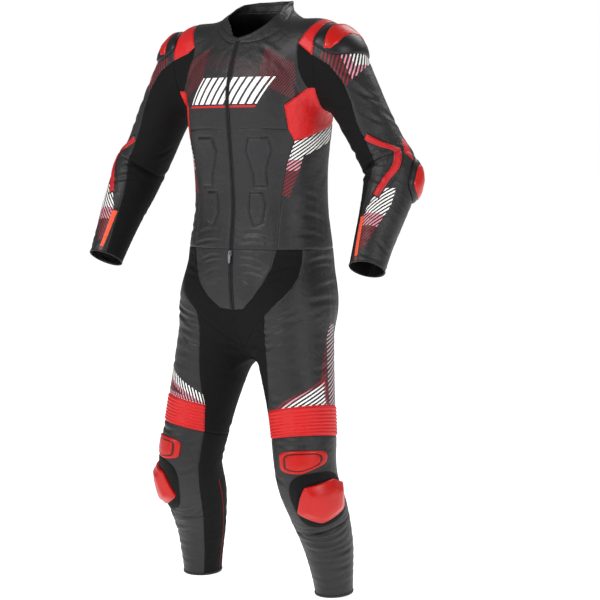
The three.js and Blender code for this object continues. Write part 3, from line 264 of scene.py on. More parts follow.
# limb, along and turn of its start, along and turn of its end, width, depth
LIMB_FOLDS = [
    (arm, 4.4, -70, 4.9, 20, 6, 2.6), (arm, 4.7, -84, 5.3, 6, 5, 2.4),
    (arm, 5.0, -96, 5.9, -20, 6, 2.4), (arm, 4.0, -60, 4.3, 30, 5, 1.6),
    (arm, 5.5, -70, 6.2, 8, 5, 1.8), (arm, 3.4, -100, 3.9, -26, 6, 1.8),
    (arm, 2.6, -80, 3.3, -8, 7, 1.8), (arm, 1.8, -70, 2.6, 6, 8, 2.2),
    (arm, 7.0, -60, 7.5, 20, 5, 1.2), (arm, 8.2, 20, 8.5, 100, 5, 1.3),
    (arm, 8.8, -20, 9.1, 60, 5, 1.4), (arm, 4.2, 200, 4.9, 250, 7, 2.4),
    (arm, 6.4, 150, 6.9, 215, 6, 1.8), (arm, 3.0, 60, 3.5, 130, 7, 1.3),
    (arm, 2.2, 120, 2.9, 190, 8, 2.0), (arm, 7.6, 120, 8.2, 180, 6, 1.6),
    (arm, 9.2, 90, 9.3, 170, 5, 1.2), (arm, 1.5, 14, 2.1, 52, 7, 1.4),
    (arm, 2.1, 20, 2.8, 70, 7, 1.5), (arm, 2.8, 16, 3.4, 58, 6, 1.2),
    (leg, 0.66, -26, 0.46, 30, 5, 1.8), (leg, 0.86, -20, 0.6, 62, 6, 2.0),
    (leg, 1.15, -44, 0.95, 26, 5, 1.6), (leg, 1.5, -50, 1.45, 10, 5, 1.3),
    (leg, 2.3, 20, 2.15, 84, 6, 1.0), (leg, 2.9, -40, 2.82, 24, 5, 1.0),
    (leg, 1.0, -90, 1.4, -34, 7, 2.0), (leg, 4.35, -40, 4.3, 56, 5, 1.5),
    (leg, 5.2, -66, 5.5, -24, 6, 1.6), (leg, 6.85, -58, 7.02, 16, 4, 1.5),
    (leg, 7.05, -50, 7.28, 66, 5, 2.2), (leg, 7.3, -44, 7.5, 78, 4, 1.8),
    (leg, 7.52, -34, 7.74, 70, 5, 2.2), (leg, 7.8, -40, 7.95, 52, 4, 1.6),
    (leg, 8.05, -20, 8.22, 84, 5, 1.8), (leg, 8.4, -46, 8.5, 40, 4, 1.3),
    (leg, 8.75, -10, 8.82, 84, 5, 1.3), (leg, 9.3, -40, 9.22, 50, 4, 1.0),
    (leg, 6.9, -80, 7.3, -24, 6, 1.6), (leg, 9.7, -30, 9.62, 66, 4, 0.9),
    (leg, 4.3, 140, 4.5, 220, 7, 2.6), (leg, 4.8, 130, 5.0, 235, 7, 2.8),
    (leg, 5.3, 135, 5.5, 240, 7, 2.6), (leg, 5.9, 140, 6.0, 230, 7, 2.2),
    (leg, 3.8, 150, 3.9, 230, 7, 2.0), (leg, 1.0, 150, 0.8, 215, 10, 2.6),
    (leg, 1.6, 150, 1.5, 220, 9, 2.2), (leg, 7.6, 140, 7.8, 220, 7, 1.8),
    (leg, 8.8, 150, 8.9, 225, 6, 1.5), (leg, 3.0, 130, 3.1, 210, 9, 1.6),
]
# turn and z of its start, turn and z of its end, width, depth
TRUNK_FOLDS = [
    (10, -572, 38, -586, 4, 1.2), (8, -592, 34, -600, 4, 1.4), (14, -612, 36, -618, 4, 1.0),
    (8, -632, 26, -640, 5, 1.2), (46, -580, 64, -572, 5, 1.4), (44, -612, 62, -596, 5, 1.5),
    (40, -640, 56, -626, 5, 1.3), (70, -592, 104, -584, 6, 1.8), (72, -606, 96, -602, 5, 1.3),
    (76, -656, 108, -648, 7, 1.6), (62, -470, 96, -496, 7, 1.8), (66, -424, 90, -440, 6, 1.4),
    (56, -520, 90, -532, 6, 1.8), (16, -518, 46, -528, 5, 1.0), (12, -540, 50, -544, 4, 1.2),
    (56, -130, 64, -186, 8, 2.0), (46, -96, 56, -146, 8, 1.4), (30, -70, 44, -96, 8, 1.2),
    (110, -300, 150, -320, 9, 1.8), (116, -400, 165, -420, 9, 2.0), (112, -480, 170, -500, 9, 2.2),
    (120, -530, 168, -540, 8, 1.8), (125, -200, 150, -260, 9, 1.6), (130, -120, 160, -150, 10, 1.5),
    (120, -640, 160, -660, 10, 1.8), (125, -720, 165, -735, 10, 2.2), (60, -690, 100, -684, 7, 1.6),
]


def fold_paths():
    chance = np.random.default_rng(7)
    paths = []
    for side in (1, -1):
        for row in [*LIMB_FOLDS, *((None, *row) for row in TRUNK_FOLDS)]:
            limb, *rest = row
            a0, b0, a1, b1, width, depth = rest
            shift = chance.uniform(-1, 1, 4) * (0 if side == 1 else 1)
            spot, step, bow = (trunk, (3, 8), (0, 6)) if limb is None else (limb, (0.12, 10), (0.12, 0))
            ends = np.array([(a0, b0), (a1, b1)]) + shift.reshape(2, 2) * step
            line = []
            for t in np.linspace(0, 1, 9):
                here = ends[0] * (1 - t) + ends[1] * t
                line.append(spot(*(here + np.array(bow) * math.sin(math.pi * t))))
            line = settled(np.array(line))[0] * [side, 1, 1]
            depth *= 1 + 0.25 * float(chance.uniform(-1, 1)) * (side == -1)
            paths.append((line, width, depth))
    return paths


folds = fold_paths()
FOLD_DEPTH = 1.35
RIDGE_HEIGHT, RIDGE_AWAY, RIDGE_WIDTH = 0.5, 1.8, 0.75


def folded(p, paths):
    """How far the folds move each place out, in millimetres."""
    lift = np.zeros(len(p))
    for line, width, depth in paths:
        low, high = line.min(0) - 3 * width, line.max(0) + 3 * width
        near = np.flatnonzero(((p > low) & (p < high)).all(1))
        if not len(near):
            continue
        best = np.full(len(near), 1e9)
        share = np.zeros(len(near))
        count = len(line) - 1
        for k in range(count):
            span = line[k + 1] - line[k]
            t = np.clip((p[near] - line[k]) @ span / (span @ span), 0, 1)
            away = np.linalg.norm(p[near] - line[k] - t[:, None] * span, axis=1)
            closer = away < best
            best = np.where(closer, away, best)
            share = np.where(closer, (k + t) / count, share)
        s = best / width
        fade = np.sin(np.pi * np.clip(share, 0.02, 0.98)) ** 0.7
        ridge = RIDGE_HEIGHT * np.exp(-(((s - RIDGE_AWAY) / RIDGE_WIDTH) ** 2))
        lift[near] += FOLD_DEPTH * depth * fade * (ridge - np.exp(-s * s))
    return lift


# How every sewn piece is made: the outer face of its wall is divided finely, laid on the worn form,
# drawn in a little at its seams, and given back its thickness.

# the wall in metres, then the overlap and the groove's half width at a seam in millimetres
LEATHER = 0.0014
SEAM_OVERLAP = 0.32
SEAM_GROOVE = 3.2
SMOOTHING_ROUNDS = 5
RIBBED_FOLDS = 0.2


def outer_faces(nodes):
    """The merged corners, in millimetres, and triangles of these walls' outer faces."""
    places, triangles, start = [], [], 0
    for name in nodes:
        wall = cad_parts[name]
        mesh = wall.data
        mesh.calc_loop_triangles()
        here = np.empty(len(mesh.vertices) * 3)
        mesh.vertices.foreach_get("co", here)
        turn, shift = np.array(wall.matrix_world.to_3x3()), np.array(wall.matrix_world.translation)
        faces = np.array([t.vertices[:] for t in mesh.loop_triangles])
        places.append((here.reshape(-1, 3) @ turn.T + shift) * 1000)
        triangles.append(faces + start)
        start += len(mesh.vertices)
    places, triangles = np.concatenate(places), np.concatenate(triangles)
    keys, index = np.unique(np.round(places / 0.002).astype(int), axis=0, return_inverse=True)
    index = index.ravel()
    merged = np.zeros((len(keys), 3))
    np.add.at(merged, index, places)
    merged /= np.bincount(index)[:, None]
    triangles = index[triangles]
    a, b, c = (merged[triangles[:, k]] for k in range(3))
    facing = np.cross(b - a, c - a)
    size = np.linalg.norm(facing, axis=1)
    whole = size > 1e-6
    triangles, facing = triangles[whole], facing[whole] / size[whole][:, None]
    centre = merged[triangles].mean(1)
    out = outwards(centre)
    out /= np.linalg.norm(out, axis=1)[:, None]
    return merged, triangles[(facing * out).sum(1) > 0.3]


def among_neighbours(p, ends, count):
    """The middle of each corner's neighbours."""
    near = np.zeros_like(p)
    np.add.at(near, ends[:, 0], p[ends[:, 1]])
    np.add.at(near, ends[:, 1], p[ends[:, 0]])
    return near / count


def sewn(name, nodes, size, finish, weld=0, ribs=None, relief=None, pinch=0.9):
    """One sewn piece as a thin shell, with its places and the distance to its seams as attributes."""
    places, triangles = outer_faces(nodes)
    cloth = bmesh.new()
    used = {}
    for corner in np.unique(triangles):
        used[corner] = cloth.verts.new(places[corner])
    for t in triangles:
        if len({*t}) == 3:
            try:
                cloth.faces.new([used[k] for k in t])
            except ValueError:
                pass
    if weld:
        bmesh.ops.remove_doubles(cloth, verts=cloth.verts[:], dist=weld)
    for _ in range(6):
        long_edges = [e for e in cloth.edges if e.calc_length() > size]
        if not long_edges:
            break
        bmesh.ops.subdivide_edges(cloth, edges=long_edges, cuts=1)
        bmesh.ops.triangulate(cloth, faces=cloth.faces[:])
    inner_edges = [e for e in cloth.edges if not e.is_boundary]
    bmesh.ops.beautify_fill(cloth, faces=cloth.faces[:], edges=inner_edges)
    cloth.verts.index_update()
    p = np.array([v.co[:] for v in cloth.verts])
    free = np.array([not v.is_boundary for v in cloth.verts])
    ends = np.array([[v.index for v in e.verts] for e in cloth.edges])
    count = np.bincount(ends.ravel(), minlength=len(p))[:, None]
    for _ in range(SMOOTHING_ROUNDS):
        p[free] = settled((0.4 * p + 0.6 * among_neighbours(p, ends, count))[free], 1)[0]
    p, out = settled(p, 1)
    beyond = p - among_neighbours(p, ends, count)
    beyond -= (beyond * out).sum(1)[:, None] * out
    beyond /= np.maximum(np.linalg.norm(beyond, axis=1), 1e-6)[:, None]
    p[~free] += SEAM_OVERLAP * beyond[~free]
    seam_away, seam_run = seam_measures(cloth, p)
    lift = folded(p, folds)
    limbs = np.abs(p) * [1, 0, 0] + p * [0, 1, 1]
    along, turn = place_on_limbs(limbs)
    around = np.degrees(np.arctan2(limbs[:, 0], -limbs[:, 1]))
    if ribs is not None:
        lift = lift * RIBBED_FOLDS + ribs(p)
    if relief is not None:
        lift += relief(along, turn, around, limbs[:, 2])
    lift -= pinch * np.exp(-((seam_away / SEAM_GROOVE) ** 2))
    p = p + out * lift[:, None]
    for v, place in zip(cloth.verts, p):
        v.co = place / 1000
    name += "_cloth"
    mesh = bpy.data.meshes.new(name)
    cloth.to_mesh(mesh)
    cloth.free()
    labels = ("seam_away", "seam_run", "along", "turn", "around")
    for label, values in zip(labels, (seam_away, seam_run, along, turn, around)):
        mesh.attributes.new(label, "FLOAT", "POINT").data.foreach_set("value", values.astype(np.float32))
    mesh.polygons.foreach_set("use_smooth", [True] * len(mesh.polygons))
    piece = bpy.data.objects.new(name, mesh)
    bpy.context.collection.objects.link(piece)
    piece.data.materials.append(finish)
    wall = piece.modifiers.new("thickness", "SOLIDIFY")
    wall.thickness = LEATHER
    wall.offset = -1
    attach(piece, "suit")
    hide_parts(*nodes)
    return piece


LEG_TOP, LEG_REACH = -560, 270


def place_on_limbs(p):
    """Along and turn of each place on its limb, from the nearest place on the limb's middle line."""
    on_leg = (p[:, 2] < LEG_TOP) & (p[:, 0] < LEG_REACH)
    along_at, turn_at = np.zeros(len(p)), np.zeros(len(p))
    for mask, axis in ((on_leg, leg_axis), (~on_leg, arm_axis)):
        if not mask.any():
            continue
        middle, along, front, outer, _, spacing = axis
        q = p[mask]
        near = np.argmin((middle**2).sum(1) - 2 * q @ middle.T, axis=1)
        d = q - middle[near]
        past = np.clip((d * along[near]).sum(1) / spacing[near], -1, 1)
        other = np.clip(near + np.sign(past).astype(int), 0, len(middle) - 1)
        share = np.abs(past)[:, None]
        here, ahead_of, aside = (k[near] * (1 - share) + k[other] * share for k in (middle, front, outer))
        d = q - here
        along_at[mask] = (near + past) / FINE
        turn_at[mask] = np.degrees(np.arctan2((d * aside).sum(1), (d * ahead_of).sum(1)))
    return along_at, turn_at


# past the first distance only a seam's nearest corner counts, and runs further apart than the
# second aren't neighbours
SEAM_NEAR, RUN_STEP = 16, 30


def seam_measures(cloth, p):
    """Each corner's distance to the piece's edge, and how far along that edge it lies."""
    rim = [e for e in cloth.edges if e.is_boundary]
    ahead_of = {}
    for e in rim:
        a, b = (v.index for v in e.verts)
        ahead_of.setdefault(a, []).append(b)
        ahead_of.setdefault(b, []).append(a)
    run, seen = {}, set()
    for start in ahead_of:
        if start in seen:
            continue
        here, length = start, 0.0
        while here is not None:
            seen.add(here)
            run[here] = length
            onward = [k for k in ahead_of[here] if k not in seen]
            if onward:
                length += float(np.linalg.norm(p[onward[0]] - p[here]))
            here = onward[0] if onward else None
    tree = KDTree(len(ahead_of))
    for k in ahead_of:
        tree.insert(p[k], k)
    tree.balance()
    away, along = np.full(len(p), 99.0), np.zeros(len(p))
    for k in range(len(p)):
        if k in ahead_of:
            away[k], along[k] = 0, run[k]
            continue
        _, near, distance = tree.find(p[k])
        away[k], along[k] = distance, run[near]
        if distance > SEAM_NEAR:
            continue
        for other in ahead_of[near]:
            span = p[other] - p[near]
            share = float(np.clip((p[k] - p[near]) @ span / max(span @ span, 1e-9), 0, 1))
            gap = float(np.linalg.norm(p[k] - p[near] - share * span))
            if gap < away[k] and abs(run[other] - run[near]) < RUN_STEP:
                away[k], along[k] = gap, run[near] + share * (run[other] - run[near])
    return away, along


class Finish:
    """A material and its nodes. Values on it are written as Measures."""

    def __init__(self, name, **fixed):
        self.material = bpy.data.materials.new(name)
        self.material.use_nodes = True
        self.tree = self.material.node_tree
        self.shader = self.tree.nodes["Principled BSDF"]
        for socket, value in fixed.items():
            self.shader.inputs[socket.replace("_", " ")].default_value = value

    def node(self, kind, settings=(), inputs=()):
        made = self.tree.nodes.new(kind)
        for key, value in dict(settings).items():
            setattr(made, key, value)
        for key, value in dict(inputs).items():
            self.feed(made.inputs[key], value)
        return made

    def feed(self, socket, value):
        if isinstance(value, Measure):
            value = value.socket
        if isinstance(value, bpy.types.NodeSocket):
            self.tree.links.new(value, socket)
        else:
            socket.default_value = value

    def attribute(self, name):
        return Measure(self, self.node("ShaderNodeAttribute", {"attribute_name": name}).outputs["Fac"])

    def coordinates(self):
        split = self.node("ShaderNodeSeparateXYZ")
        self.feed(split.inputs[0], self.node("ShaderNodeTexCoord").outputs["Object"])
        return [Measure(self, split.outputs[k]) for k in range(3)]

    def noise(self, scale, detail=2.0, rough=0.5):
        made = self.node("ShaderNodeTexNoise", {}, {"Scale": scale, "Detail": detail, "Roughness": rough})
        self.feed(made.inputs["Vector"], self.node("ShaderNodeTexCoord").outputs["Object"])
        return Measure(self, made.outputs["Fac"])

    def cells(self, scale):
        made = self.node("ShaderNodeTexVoronoi", {"feature": "F1"}, {"Scale": scale})
        self.feed(made.inputs["Vector"], self.node("ShaderNodeTexCoord").outputs["Object"])
        return Measure(self, made.outputs["Distance"])

    def mixed(self, share, first, second):
        made = self.node("ShaderNodeMix", {"data_type": "RGBA"}, {0: share, 6: first, 7: second})
        return made.outputs[2]

    def raised(self, height, strength, distance, under=None):
        inputs = {"Height": height, "Strength": strength, "Distance": distance}
        if under is not None:
            inputs["Normal"] = under
        return self.node("ShaderNodeBump", {}, inputs).outputs["Normal"]


class Measure:
    """A number that varies over a surface, with the usual signs of arithmetic."""

    def __init__(self, finish, socket):
        self.finish = finish
        self.socket = socket

    def sum_with(self, kind, first, second=0.0, third=None):
        inputs = {0: first, 1: second}
        if third is not None:
            inputs[2] = third
        made = self.finish.node("ShaderNodeMath", {"operation": kind}, inputs)
        return Measure(self.finish, made.outputs[0])

    def __add__(self, other):
        return self.sum_with("ADD", self, other)

    __radd__ = __add__

    def __sub__(self, other):
        return self.sum_with("SUBTRACT", self, other)

    def __rsub__(self, other):
        return self.sum_with("SUBTRACT", other, self)

    def __mul__(self, other):
        return self.sum_with("MULTIPLY", self, other)

    __rmul__ = __mul__

    def __truediv__(self, other):
        return self.sum_with("DIVIDE", self, other)

    def __lt__(self, other):
        return self.sum_with("LESS_THAN", self, other)

    def __gt__(self, other):
        return self.sum_with("GREATER_THAN", self, other)

    def __abs__(self):
        return self.sum_with("ABSOLUTE", self)

    def part(self):
        return self.sum_with("FRACT", self)

    def between(self, low, high):
        return (self > low) * (self < high)


def lesser(a, b):
    return a.sum_with("MINIMUM", a, b) if isinstance(a, Measure) else np.minimum(a, b)


def greater(a, b):
    return a.sum_with("MAXIMUM", a, b) if isinstance(a, Measure) else np.maximum(a, b)


def depth_in(u, v, corners):
    """How far a place lies inside a convex outline. Places are Measures or rows of numbers."""
    least = None
    doubled = sum(a[0] * b[1] - b[0] * a[1] for a, b in zip(corners, corners[1:] + corners[:1]))
    for a, b in zip(corners, corners[1:] + corners[:1]):
        length = math.hypot(b[0] - a[0], b[1] - a[1])
        x, y = (a[1] - b[1]) / length, (b[0] - a[0]) / length
        if doubled < 0:
            x, y = -x, -y
        here = (u - a[0]) * x + (v - a[1]) * y
        least = here if least is None else lesser(least, here)
    return least


def striped(u, v, run, pitch, share):
    """Stripes that go the way of run, with this pitch across them."""
    length = math.hypot(*run)
    across = u * (run[1] / length) - v * (run[0] / length)
    return (across / pitch).part() < share


def rgb(code):
    """A colour from its six hexadecimal digits."""
    values = [int(code[k : k + 2], 16) / 255 for k in (0, 2, 4)]
    return (*[v / 12.92 if v <= 0.04045 else ((v + 0.055) / 1.055) ** 2.4 for v in values], 1)


STITCH_PITCH, STITCH_SHARE = 3.4, 0.68


def stitched(finish, colour, thread):
    """A line of stitches beside each seam: the colour with its thread, and the stitches' height."""
    away, run = finish.attribute("seam_away"), finish.attribute("seam_run")
    line = away.between(2.6, 3.5) * ((run / STITCH_PITCH).part() < STITCH_SHARE)
    return finish.mixed(line, colour, thread), line


def grain_leather(name, colour, roughness, thread, print_and_shade_on=None):
    """Full-grain leather: fine pores, soft wrinkles, a slight sheen, and stitches along its edges."""
    finish = Finish(name, Specular_IOR_Level=0.36)
    soft = finish.noise(9.0, 4.0, 0.6)
    fine = finish.noise(420.0, 3.0, 0.6)
    pores = finish.cells(950.0)
    creases = finish.noise(70.0, 5.0, 0.62)
    base = rgb(colour)
    lighter = tuple(min(1, c * 1.5) for c in base[:3]) + (1,)
    shade = finish.mixed(soft * 0.6, base, lighter)
    if print_and_shade_on is not None:
        shade = print_and_shade_on(finish, shade)
    shade, line = stitched(finish, shade, rgb(thread))
    finish.feed(finish.shader.inputs["Base Color"], shade)
    finish.feed(finish.shader.inputs["Roughness"], soft * 0.16 + fine * 0.1 + (roughness - 0.13))
    bumped = finish.raised(pores, 0.16, 0.0006)
    bumped = finish.raised(creases, 0.45, 0.0026, bumped)
    bumped = finish.raised(soft, 0.6, 0.012, bumped)
    bumped = finish.raised(line, 0.5, 0.0006, bumped)
    finish.feed(finish.shader.inputs["Normal"], bumped)
    return finish.material


def stretch_knit(name, colour, print_and_shade_on=None):
    """Matte elastic cloth with a close ribbed weave and stitches along its edges."""
    finish = Finish(name, Specular_IOR_Level=0.16)
    x, y, z = finish.coordinates()
    weave = abs((z * 480.0).part() - 0.5) * 2 * abs(((x + y) * 480.0).part() - 0.5)
    soft = finish.noise(14.0, 3.0)
    base = rgb(colour)
    shade = finish.mixed(soft * 0.8, base, tuple(c * 1.6 for c in base[:3]) + (1,))
    if print_and_shade_on is not None:
        shade = print_and_shade_on(finish, shade)
    shade, line = stitched(finish, shade, rgb("161618"))
    finish.feed(finish.shader.inputs["Base Color"], shade)
    finish.feed(finish.shader.inputs["Roughness"], soft * 0.1 + 0.78)
    bumped = finish.raised(weave, 0.35, 0.0008)
    bumped = finish.raised(finish.noise(60.0, 4.0), 0.3, 0.002, bumped)
    bumped = finish.raised(soft, 0.5, 0.010, bumped)
    bumped = finish.raised(line, 0.4, 0.0005, bumped)
    finish.feed(finish.shader.inputs["Normal"], bumped)
    return finish.material


# The chest's print is a block of plain slanted bars across both pieces, with a red edge under it,
# and thin dark red lines above.

WHITE, RED, DARK_RED, PINK = rgb("f4f2f0"), rgb("b81016"), rgb("7a0f1c"), rgb("d88a98")
ORANGE = rgb("e8502e")
AROUND = 3.0


def chest_print(finish, shade):
    x, y, z = finish.coordinates()
    side = abs(x)
    front = y < -0.03
    thin = ((z - side * 1.5) / 0.0092).part() < 0.2
    shoulder = (z + side * 0.55).between(-0.108, -0.022) * side.between(0.082, 0.16) * front
    shade = finish.mixed(thin * shoulder, shade, rgb("8e1a26"))
    sweep = ((z + x * 0.62) / 0.0086).part() < 0.17
    upper = (z + x * 0.2).between(-0.132, -0.094) * side.between(-0.01, 0.15) * front
    shade = finish.mixed(sweep * upper, shade, rgb("4c0b12"))
    run = x - (z + 0.17) * 0.62
    block = run.between(-0.098, 0.104) * front
    bars = ((run + 0.004) / 0.0206).part() < 0.66
    shade = finish.mixed(block * bars * z.between(-0.206, -0.142), shade, WHITE)
    return finish.mixed(block * z.between(-0.2145, -0.2095), shade, RED)


black_front = grain_leather("black_leather_chest", "19191b", 0.5, "252527", chest_print)
for side in ("left", "right"):
    sewn("chest_" + side, ["chest_" + side], 5, black_front)

# Collar: a stand collar of black leather round the neck, open at the front over the zip.

black_plain = grain_leather("black_leather", "19191b", 0.5, "252527")
sewn("collar", ["collar"], 4, black_plain)

# Front below the chest: black leather with two embossed panels each side of the zip. Their outlines
# are in degrees round the trunk, times AROUND, and height.

PANELS = [
    [(66, -288), (118, -288), (128, -316), (114, -366), (78, -366), (58, -316)],
    [(78, -340), (112, -340), (119, -402), (84, -402)],
    [(68, -420), (104, -420), (113, -448), (104, -490), (81, -498), (64, -466)],
]


def panel_depth(around, z):
    upper = greater(depth_in(around * AROUND, z, PANELS[0]), depth_in(around * AROUND, z, PANELS[1]))
    return greater(upper, depth_in(around * AROUND, z, PANELS[2]))


def panel_relief(along, turn, around, z):
    depth = panel_depth(around, z)
    step = np.clip((depth + 2) / 5, 0, 1)
    return 3.4 * step * step * (3 - 2 * step) - 1.3 * np.exp(-(((depth + 4) / 3) ** 2))


# The panels' outlines are coloured with painted shade, a near-black line in the groove round each panel,
# and a painted highlight, a lighter grey line just inside its raised edge.
def panel_groove_shade_and_highlight(finish, shade):
    z = finish.coordinates()[2] * 1000.0
    depth = panel_depth(finish.attribute("around"), z)
    line = depth.between(-3.4, -1.2)
    inner = depth.between(6.2, 7.2)
    shade = finish.mixed(inner * 0.7, shade, rgb("2c2c2f"))
    return finish.mixed(line, shade, rgb("030304"))


black_panels = grain_leather("black_leather_panels", "1a1a1c", 0.48, "252527", panel_groove_shade_and_highlight)
for side in ("left", "right"):
    name = "abdomen_" + side
    sewn(name, [name], 3.2, black_panels, relief=panel_relief)

# Stretch pieces in front of each shoulder, from the strap down to the armpit.

knit = stretch_knit("stretch_cloth", "090909")
for side in ("left", "right"):
    sewn("front_stretch_" + side, ["front_stretch_" + side], 5, knit)

# Red leather: a strap over each shoulder and a piece at each side under the arm.

red_plain = grain_leather("red_leather", "b80f12", 0.46, "6a080b")
for side in ("left", "right"):
    for name, size, flat, area in [
        ("shoulder_strap_", 4.5, (0.05, 0.22), 0.0071),
        ("side_red_", 5, (0.20, 0.12), 0.0153),
    ]:
        sewn(name + side, [name + side], size, red_plain)

# Sides and back of the jacket in plain black leather.

SIDE_STRIPES = [[(150, -255), (310, -240), (310, -292), (206, -332), (152, -332)],
                [(152, -300), (214, -312), (198, -372), (176, -430), (148, -420)]]


def side_print(finish, shade):
    v, z = finish.attribute("around") * AROUND, finish.coordinates()[2] * 1000.0
    inside = greater(depth_in(v, z, SIDE_STRIPES[0]), depth_in(v, z, SIDE_STRIPES[1])) > 0.0
    mask = inside * striped(v, z, (45, 30), 7.4, 0.5)
    shade = finish.mixed(mask, shade, WHITE)
    shade = finish.mixed(mask * (z < -340.0), shade, PINK)
    return finish.mixed(mask * (z < -366.0), shade, DARK_RED)


black_side = grain_leather("black_leather_side", "19191b", 0.5, "252527", side_print)
for side in ("left", "right"):
    sewn("side_lower_" + side, ["side_lower_" + side], 7, black_side)
sewn("back_upper", ["back_upper"], 7, black_plain)
sewn("back_lower", ["back_lower"], 7, black_plain)

# Sleeves: black leather outside, stretch cloth inside, both in an upper and a lower piece. Their
# outlines are in rows along the arm and degrees round it, times these.

ARM_ROW, ARM_TURN = 72.0, 1.15


def arm_outline(places):
    return [(along * ARM_ROW, turn * ARM_TURN) for along, turn in places]


def bar(start, end, half, before=0.0, after=0.0):
    """Corners of a straight bar between two places of the arm, in millimetres."""
    a, b = (np.array([along * ARM_ROW, turn * ARM_TURN]) for along, turn in (start, end))
    way = (b - a) / np.linalg.norm(b - a)
    aside = np.array([-way[1], way[0]]) * half
    a, b = a - way * before, b + way * after
    return [tuple(map(float, k)) for k in (a - aside, b - aside, b + aside, a + aside)]


UNDER_CUP = arm_outline([(1.0, 0), (1.0, 112), (1.64, 112), (1.92, 60), (2.2, 16), (1.9, 0)])
CHEVRON = [bar((3.62, 4), (4.74, 46), 7.5, 4, 9), bar((4.74, 46), (6.66, -3), 8.5, 9, 6)]
TRIANGLE = arm_outline([(4.12, 82), (4.86, 60), (5.04, 78), (4.4, 94)])
FOREARM_STRIPES = arm_outline([(7.35, -28), (6.5, 0), (6.32, 36), (6.95, 36), (8.7, -2), (8.7, -18)])
TAPE = arm_outline([(7.45, -42), (7.45, -26), (9.1, -18), (9.1, -32)])
WRIST_ZIP = arm_outline([(9.1, -31), (9.1, -20), (9.62, -17), (9.62, -29)])


def arm_place(finish):
    return finish.attribute("along") * ARM_ROW, finish.attribute("turn") * ARM_TURN


def sleeve_print_and_shade(finish, shade):
    u, v = arm_place(finish)
    stripes = (depth_in(u, v, UNDER_CUP) > 0.0) * striped(u, v, (-50, 47), 7.8, 0.42)
    shade = finish.mixed(stripes, shade, DARK_RED)
    shade = finish.mixed(stripes * (v > 34.0), shade, PINK)
    shade = finish.mixed(stripes * (v > 54.0) * (u < 1.75 * ARM_ROW), shade, WHITE)
    stripes = (depth_in(u, v, FOREARM_STRIPES) > 0.0) * striped(u, v, (-65, 66), 7.6, 0.48)
    shade = finish.mixed(stripes, shade, WHITE)
    shade = finish.mixed(stripes * (u > 7.35 * ARM_ROW), shade, PINK)
    shade = finish.mixed(stripes * (u > 7.8 * ARM_ROW), shade, DARK_RED)
    chevron = greater(depth_in(u, v, CHEVRON[0]), depth_in(u, v, CHEVRON[1]))
    # Painted shade: a near-black band just outside the raised chevron, at the foot of its edge.
    shade = finish.mixed(chevron.between(-3.6, 0.0), shade, rgb("040405"))
    shade = finish.mixed(greater(chevron, depth_in(u, v, TRIANGLE)) > 0.0, shade, RED)
    shade = finish.mixed(chevron.between(2.6, 3.4), shade, rgb("5c070b"))
    shade = finish.mixed(depth_in(u, v, TAPE) > 0.0, shade, ORANGE)
    shade = finish.mixed(depth_in(u, v, TAPE).between(0.0, 1.0), shade, rgb("2a0f0c"))
    wrist = depth_in(u, v, WRIST_ZIP)
    shade = finish.mixed(wrist > 0.0, shade, rgb("0b0b0c"))
    teeth = (wrist > 3.6) * ((u / 2.6).part() < 0.5)
    shade = finish.mixed(greater(wrist.between(0.0, 0.9), teeth), shade, rgb("b06a66"))
    return shade


def rounded_step(depth, low, high):
    share = np.clip((depth - low) / (high - low), 0, 1)
    return share * share * (3 - 2 * share)


def sleeve_relief(along, turn, around, z):
    u, v = along * ARM_ROW, turn * ARM_TURN
    chevron = greater(depth_in(u, v, CHEVRON[0]), depth_in(u, v, CHEVRON[1]))
    lift = 3.2 * rounded_step(chevron, -2.5, 3) - 1.2 * np.exp(-(((chevron + 5) / 3) ** 2))
    lift += 2.0 * rounded_step(depth_in(u, v, TRIANGLE), -2, 4)
    ribs = rounded_step(depth_in(u, v, arm_outline([(3.62, 66), (4.2, 50), (5.0, 54), (4.2, 82)])), 0, 6)
    return lift + ribs * 1.1 * np.sin((u * 0.72 + v * 0.69) * 2 * np.pi / 7)


black_sleeve = grain_leather("black_leather_sleeve", "19191b", 0.5, "252527", sleeve_print_and_shade)
for side in ("left", "right"):
    for name, size, flat, area in [
        ("sleeve_outer_", 5, (0.26, 0.38), 0.0772),
        ("forearm_outer_", 4.4, (0.25, 0.30), 0.0636),
    ]:
        name += side
        sewn(name, [name], size, black_sleeve, relief=sleeve_relief)
    for name, flat, area in [
        ("sleeve_inner_", (0.24, 0.30), 0.0538),
        ("forearm_inner_", (0.13, 0.28), 0.0296),
    ]:
        sewn(name + side, [name + side], 6.5, knit)

# Trousers: a leather rise each side of the zip, stretch cloth at the hips and inside the legs,
# leather thighs and seat.

LEG_ROW, LEG_TURN = 76.0, 1.42


def leg_outline(places):
    return [(along * LEG_ROW, turn * LEG_TURN) for along, turn in places]


ABOVE_BAND = leg_outline([(3.4, -58), (2.5, 66), (3.4, 74)])
INNER_BAND = leg_outline([(3.4, -90), (3.16, -88), (2.3, 62), (3.4, 74)])
OUTER_HATCH = leg_outline([(1.0, 80), (1.0, 98), (3.3, 108), (3.3, 66), (2.5, 56)])


